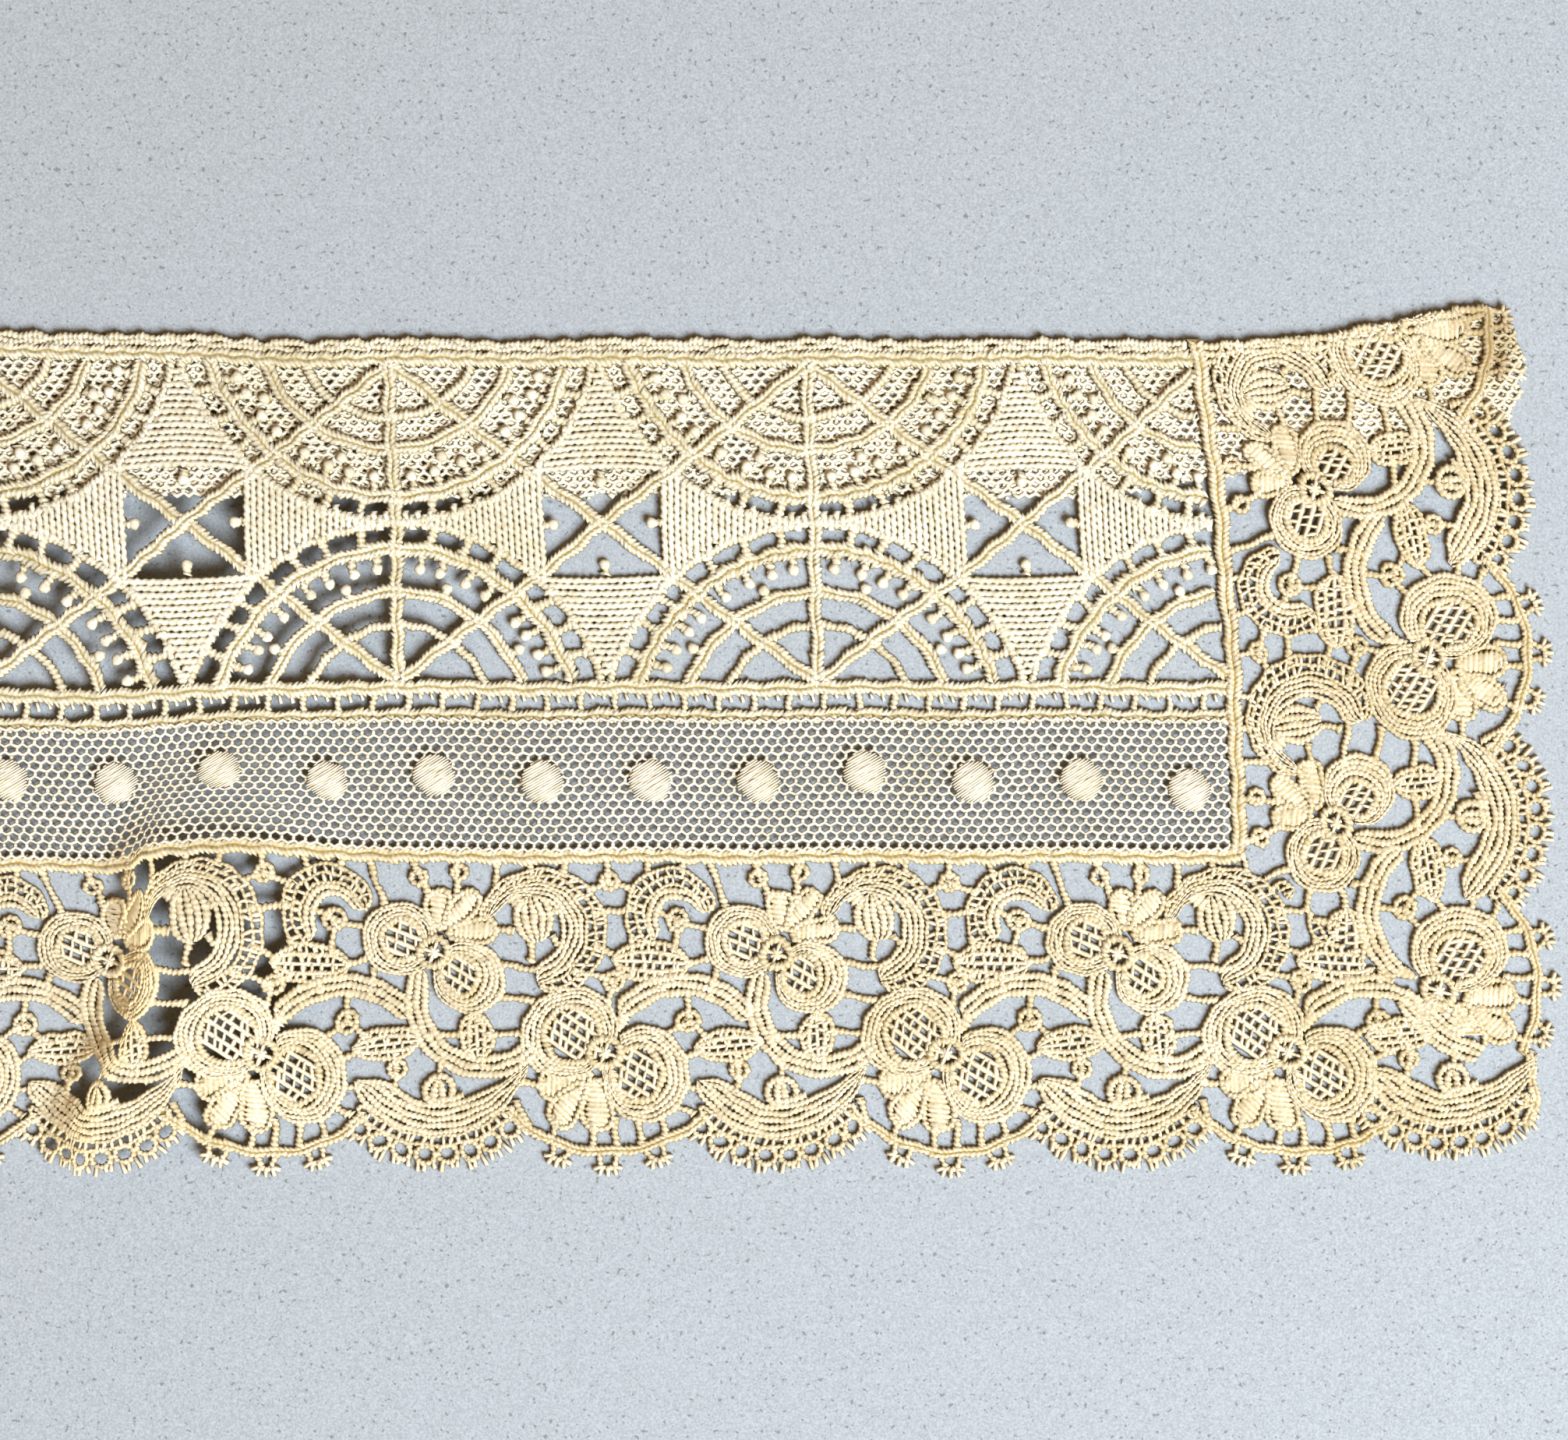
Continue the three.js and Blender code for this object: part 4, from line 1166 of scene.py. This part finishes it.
# %% Bars and ringlets
# Columns: s and t of one end, s and t of the other
BARS = (
    (-24.7, 0, -22.2, 5.6), (-30.4, 0, -27.6, 7.2), (-18.7, 0, -18.9, 5.6), (-14.1, 0, -13.6, 4.2),
    (-10.2, 6.8, -11.6, 4.0), (-9.4, 0, -9.3, 2.2), (-5.0, 0, -5.2, 2.6), (0.3, 0, 0.6, 3.3),
    (0.6, 3.3, -2.2, 4.6), (0.6, 3.3, 4.2, 4.8), (5.6, 0, 6.0, 2.8), (10.4, 0, 10.3, 2.4),
    (-1.4, 7.4, 4.0, 7.0), (-1.4, 11.4, 2.6, 13.2), (9.4, 8.3, 6.4, 7.0), (9.4, 8.3, 14.0, 9.6),
    (9.4, 8.3, 9.0, 12.4), (10.6, 13.8, 13.6, 13.2), (3.6, 10.4, 3.8, 12.8), (-15.0, 13.6, -7.4, 14.6),
    (-14.4, 17.8, -8.8, 18.6), (-3.9, 14.6, 1.6, 16.2), (1.6, 16.2, 4.2, 14.9), (1.6, 16.2, 0.6, 19.6),
    (7.2, 15.2, 7.6, 17.6), (-29.4, 14.4, -30.0, 17.8), (-22.6, 23.2, -17.2, 22.8),
    (-15.2, 22.8, -9.8, 22.8), (-16.4, 19.0, -16.2, 21.4), (-15.6, 25.4, -15.4, 27.2),
    (11.0, 21.2, 11.0, 17.2), (11.0, 21.2, 7.4, 23.6), (11.0, 21.2, 14.2, 23.6),
    (9.6, 26.6, 13.0, 24.6), (9.6, 29.6, 12.8, 29.8), (8.6, 31.8, 11.6, 33.2),
    (-26.4, 27.4, -26.6, 25.2), (-26.4, 27.4, -26.8, 30.6),
    (-20.4, 25.9, -21.4, 29.6), (-10.6, 25.6, -10.9, 29.2), (-10.9, 29.0, -7.2, 29.2),
    (-11.0, 31.2, -9.6, 34.6), (-5.6, 33.4, -6.6, 36.6), (-1.0, 34.2, -1.4, 37.9), (1.6, 33.6, 1.8, 37.6),
    (7.4, 32.6, 8.0, 36.2), (4.6, 33.8, 5.0, 37.3), (-11.3, 9.4, -14.4, 9.6), (-9.0, 10.8, -9.2, 13.6),
    (-6.6, 6.9, -5.2, 7.2), (-6.6, 10.2, -5.4, 11.4),
)
# Columns: s, t, radius
RINGLETS = (
    (0.6, 3.3, 1.2), (9.4, 8.3, 1.4), (1.6, 16.2, 1.3), (11.0, 21.2, 1.45),
    (-23.7, 2.8, 1.1), (-26.4, 27.4, 1.2), (-18.5, 2.3, 1.05),
)
for s, t, end_s, end_t in BARS:
    middle = [(s + end_s) / 2, (t + end_t) / 2]
    work("row", [[s, t], middle, [end_s, end_t]], [1.25, 0.85, 1.25], 0.8)
for s, t, radius in RINGLETS:
    ringlet = oval(s, t, radius - 0.15, radius - 0.2, 0, full_turn(15))
    work("row", ringlet, 0.85, 0.85, closed=True)
print("paths of one repeat:", count_paths(repeat))

# %% [markdown]
# The bottom and side edgings are the same repeat set down again and again, and they are cut along the
# mitre between them. The corner was pieced from parts of two repeats when the border was sewn: the
# flower at its middle lacks one petal, and the last scroll of the bottom keeps only its outer parts.

# %% Mitre and places of the repeats
BOTTOM_PITCH = 43.8
SIDE_PITCH = 42.8
# Columns: x, y
MITRE = np.array([
    [-0.9, 0.9], [16, -13.6], [19.5, -16.0], [22.3, -18.0],
    [29.6, -23.4], [31.5, -24.8], [36, -25.2], [44, -26.2],
])


def above_mitre(points):
    return points[:, 1] - np.interp(points[:, 0], MITRE[:, 0], MITRE[:, 1])


def in_bottom(points):
    inside = (points[:, 0] > LEFT_END) & (points[:, 0] < SIDE_WIDTH)
    return inside & (above_mitre(points) < 0.3)


def in_side(points):
    return (above_mitre(points) > -0.3) & (points[:, 1] < side_head(points[:, 0]))


def on_bottom(flower, lift=0.0):
    return lambda points: np.column_stack([flower + points[:, 0], lift - points[:, 1]])


def on_side(flower):
    shorter = SIDE_PITCH / BOTTOM_PITCH
    return lambda points: np.column_stack([points[:, 1], flower + points[:, 0] * shorter])


def whole_repeat(centre):
    return True


def corner_scroll(centre):
    return centre[1] > 26.5 or centre[0] < -23


def corner_flower(centre):
    return math.hypot(centre[0] + 4.3, centre[1] - 22.7) > 4.2


print("corners of the mitre:", len(MITRE))

# %% Set the repeats down
def set_down(places):
    placed = {kind: [] for kind in repeat}
    for place_repeat, kept in places:
        for kind, paths in repeat.items():
            for one in paths:
                if kept(one["points"].mean(axis=0)):
                    placed[kind].append({**one, "points": place_repeat(one["points"])})
    return placed


bottom = set_down([
    *[(on_bottom(flower), whole_repeat) for flower in (-169, -125.2, -81.4, -37.6, 6.2)],
    (on_bottom(47.6, 1.5), corner_scroll),
])
side = set_down([
    (on_side(-17.4), corner_flower),
    *[(on_side(flower), whole_repeat) for flower in (25.4, 68.2)],
])
print("paths of the side edging:", count_paths(side))

# %% The corner's own stem and petal, and the headings
CORNER_BASE = 0.28
HEADING = {"width": 2.15, "height": 1.15, "base": CORNER_BASE}
corner_stem = np.array([[20.6, -17.8], [22.2, -20.2], [24.4, -22.8], [27.2, -24.6], [30.2, -25.6]])
for shift in (-1.0, 0.0, 1.0):
    bottom["close"].append(path(corner_stem + shift * np.array([0.6, 0.8]), 1.25, 0.85, CORNER_BASE))
corner_petal = along_shape(26.0, -20.5, 3.2, 2.1, -40, oval_taper)
for line in (-0.8, -0.4, 0.0, 0.4, 0.8):
    for edging in (bottom, side):
        curve = corner_petal(np.linspace(0, 1, 40), line)
        edging["close"].append(path(curve, 1.05, 0.85, CORNER_BASE))
bottom_heading = np.column_stack([np.linspace(LEFT_END + 0.1, 0.4, 240), np.zeros(240)])
bottom["cord"].append(path(bottom_heading, **HEADING))
corner_cord = [[36.6, -25.4], [36.6, -27.6], [37.2, -31], [36.2, -34.3]]
bottom["cord"].append(path(corner_cord, 1.4, 0.95, CORNER_BASE))
side_heading = np.column_stack([np.zeros(120), np.linspace(-0.4, SIDE_HEAD, 120)])
side["cord"].append(path(side_heading, **HEADING))
head_line = np.linspace(-0.8, SIDE_WIDTH, 80)
for below, width in ((0.6, 1.1), (1.6, 1.0)):
    head_row = np.column_stack([head_line, side_head(head_line) - below])
    side["row"].append(path(head_row, width, 0.9, CORNER_BASE))
print("paths of the bottom edging:", count_paths(bottom))

# %% Make the edgings
edging_bottom = make_piece("edging_bottom_stitches", threads(
    bottom, ["cord", "row"], 0, in_bottom,
), cream_lace, ["edging_bottom"])
bottom_rows = make_piece("edging_bottom_rows", threads(
    bottom, ["close"], 0, in_bottom,
), cream_lace)
bottom_threads = make_piece("edging_bottom_threads", threads(
    bottom, ["thread"], 0, in_bottom,
), cream_lace)
edging_side = make_piece("edging_side_stitches", threads(
    side, ["cord", "row", "close"], RAISED_BY_TURNING, in_side,
), golden_lace, ["edging_side"])
side_threads = make_piece("edging_side_threads", threads(
    side, ["thread"], RAISED_BY_TURNING, in_side,
), golden_lace)

# %% [markdown]
#
# Each band is a sheet of cloth that lies on the table. Lace is mostly holes, so the area worked out
# for each is the area of its stitching. The area is only computed, not stored.


# %% Flat sizes of the sheets
def stitched_area(piece):
    areas = np.zeros(len(piece.data.polygons))
    piece.data.polygons.foreach_get("area", areas)
    return float(areas.sum() / 2)


def declare(piece):
    stitched = stitched_area(piece)


declare(lace_insertion)
declare(net_band)
declare(net_turning)
declare(edging_bottom)
declare(edging_side)

# %% [markdown]
# ## Floor, light and camera
#
# The border lies on a pale blue-grey board with a fine speckle, seen straight from above. The light
# comes from the lower right, so shadows fall to the upper left of each thread.

# %% Floor
floor_mesh = bpy.data.meshes.new("floor")
floor_shape = bmesh.new()
bmesh.ops.create_grid(floor_shape, x_segments=1, y_segments=1, size=4.0)
bmesh.ops.translate(floor_shape, vec=(0, 0, -0.0001), verts=floor_shape.verts)
floor_shape.to_mesh(floor_mesh)
floor_shape.free()
floor = add_object("floor", floor_mesh)
board = bpy.data.materials.new("speckled board")
board.use_nodes = True
floor_mesh.materials.append(board)

# The helpers of the cotton group now build in the board's own tree
nodes = board.node_tree.nodes
wire = board.node_tree.links.new
place = nodes.new("ShaderNodeTexCoord")
shade = nodes.new("ShaderNodeValToRGB")
shade.color_ramp.elements[0].position = 0.28
shade.color_ramp.elements[0].color = (0.290, 0.316, 0.350, 1)
shade.color_ramp.elements[1].position = 0.72
shade.color_ramp.elements[1].color = (0.438, 0.474, 0.528, 1)
wire(noise(3600, 2), shade.inputs["Fac"])
specks = spread(noise(1500, 1), 0.66, 0.72, 0, 0.8)
speckled = mix(specks, shade.outputs["Color"], (0.17, 0.18, 0.19))
wire(speckled, nodes["Principled BSDF"].inputs["Base Color"])
set_inputs(nodes["Principled BSDF"], {"Roughness": 0.8, "Specular IOR Level": 0.2})
print("nodes in the board's material:", len(nodes))

# %% Camera
FRAME_WIDTH = 201.2 * MM
CAMERA_HEIGHT = 0.62
SENSOR = 36
VIEW_CENTRE = np.array([-58.2, 17.4]) * MM
camera_data = bpy.data.cameras.new("camera")
camera = add_object("camera", camera_data)
camera_data.sensor_width = SENSOR
camera_data.sensor_fit = "HORIZONTAL"
camera_data.lens = SENSOR * CAMERA_HEIGHT / FRAME_WIDTH
camera.location = (*(inner_corner[:2] + VIEW_CENTRE), CAMERA_HEIGHT)
bpy.context.scene.camera = camera
print("lens in mm", round(camera_data.lens, 1))

# %% Light
key_data = bpy.data.lights.new("window", "AREA")
key_data.size = 0.72
key_data.energy = 41.3
key_data.color = (0.885, 0.963, 0.995)
key = add_object("window", key_data)
key.location = (0.64, -0.64, 1.1)
key.rotation_euler = (-key.location).to_track_quat("-Z", "Y").to_euler()
world = bpy.data.worlds.new("room")
bpy.context.scene.world = world
world.use_nodes = True
set_inputs(world.node_tree.nodes["Background"], {"Color": (1.0, 0.60, 0.26, 1), "Strength": 0.32})
bpy.context.scene.view_settings.view_transform = "Standard"
print("light stands", round(key.location.length, 2), "m away")
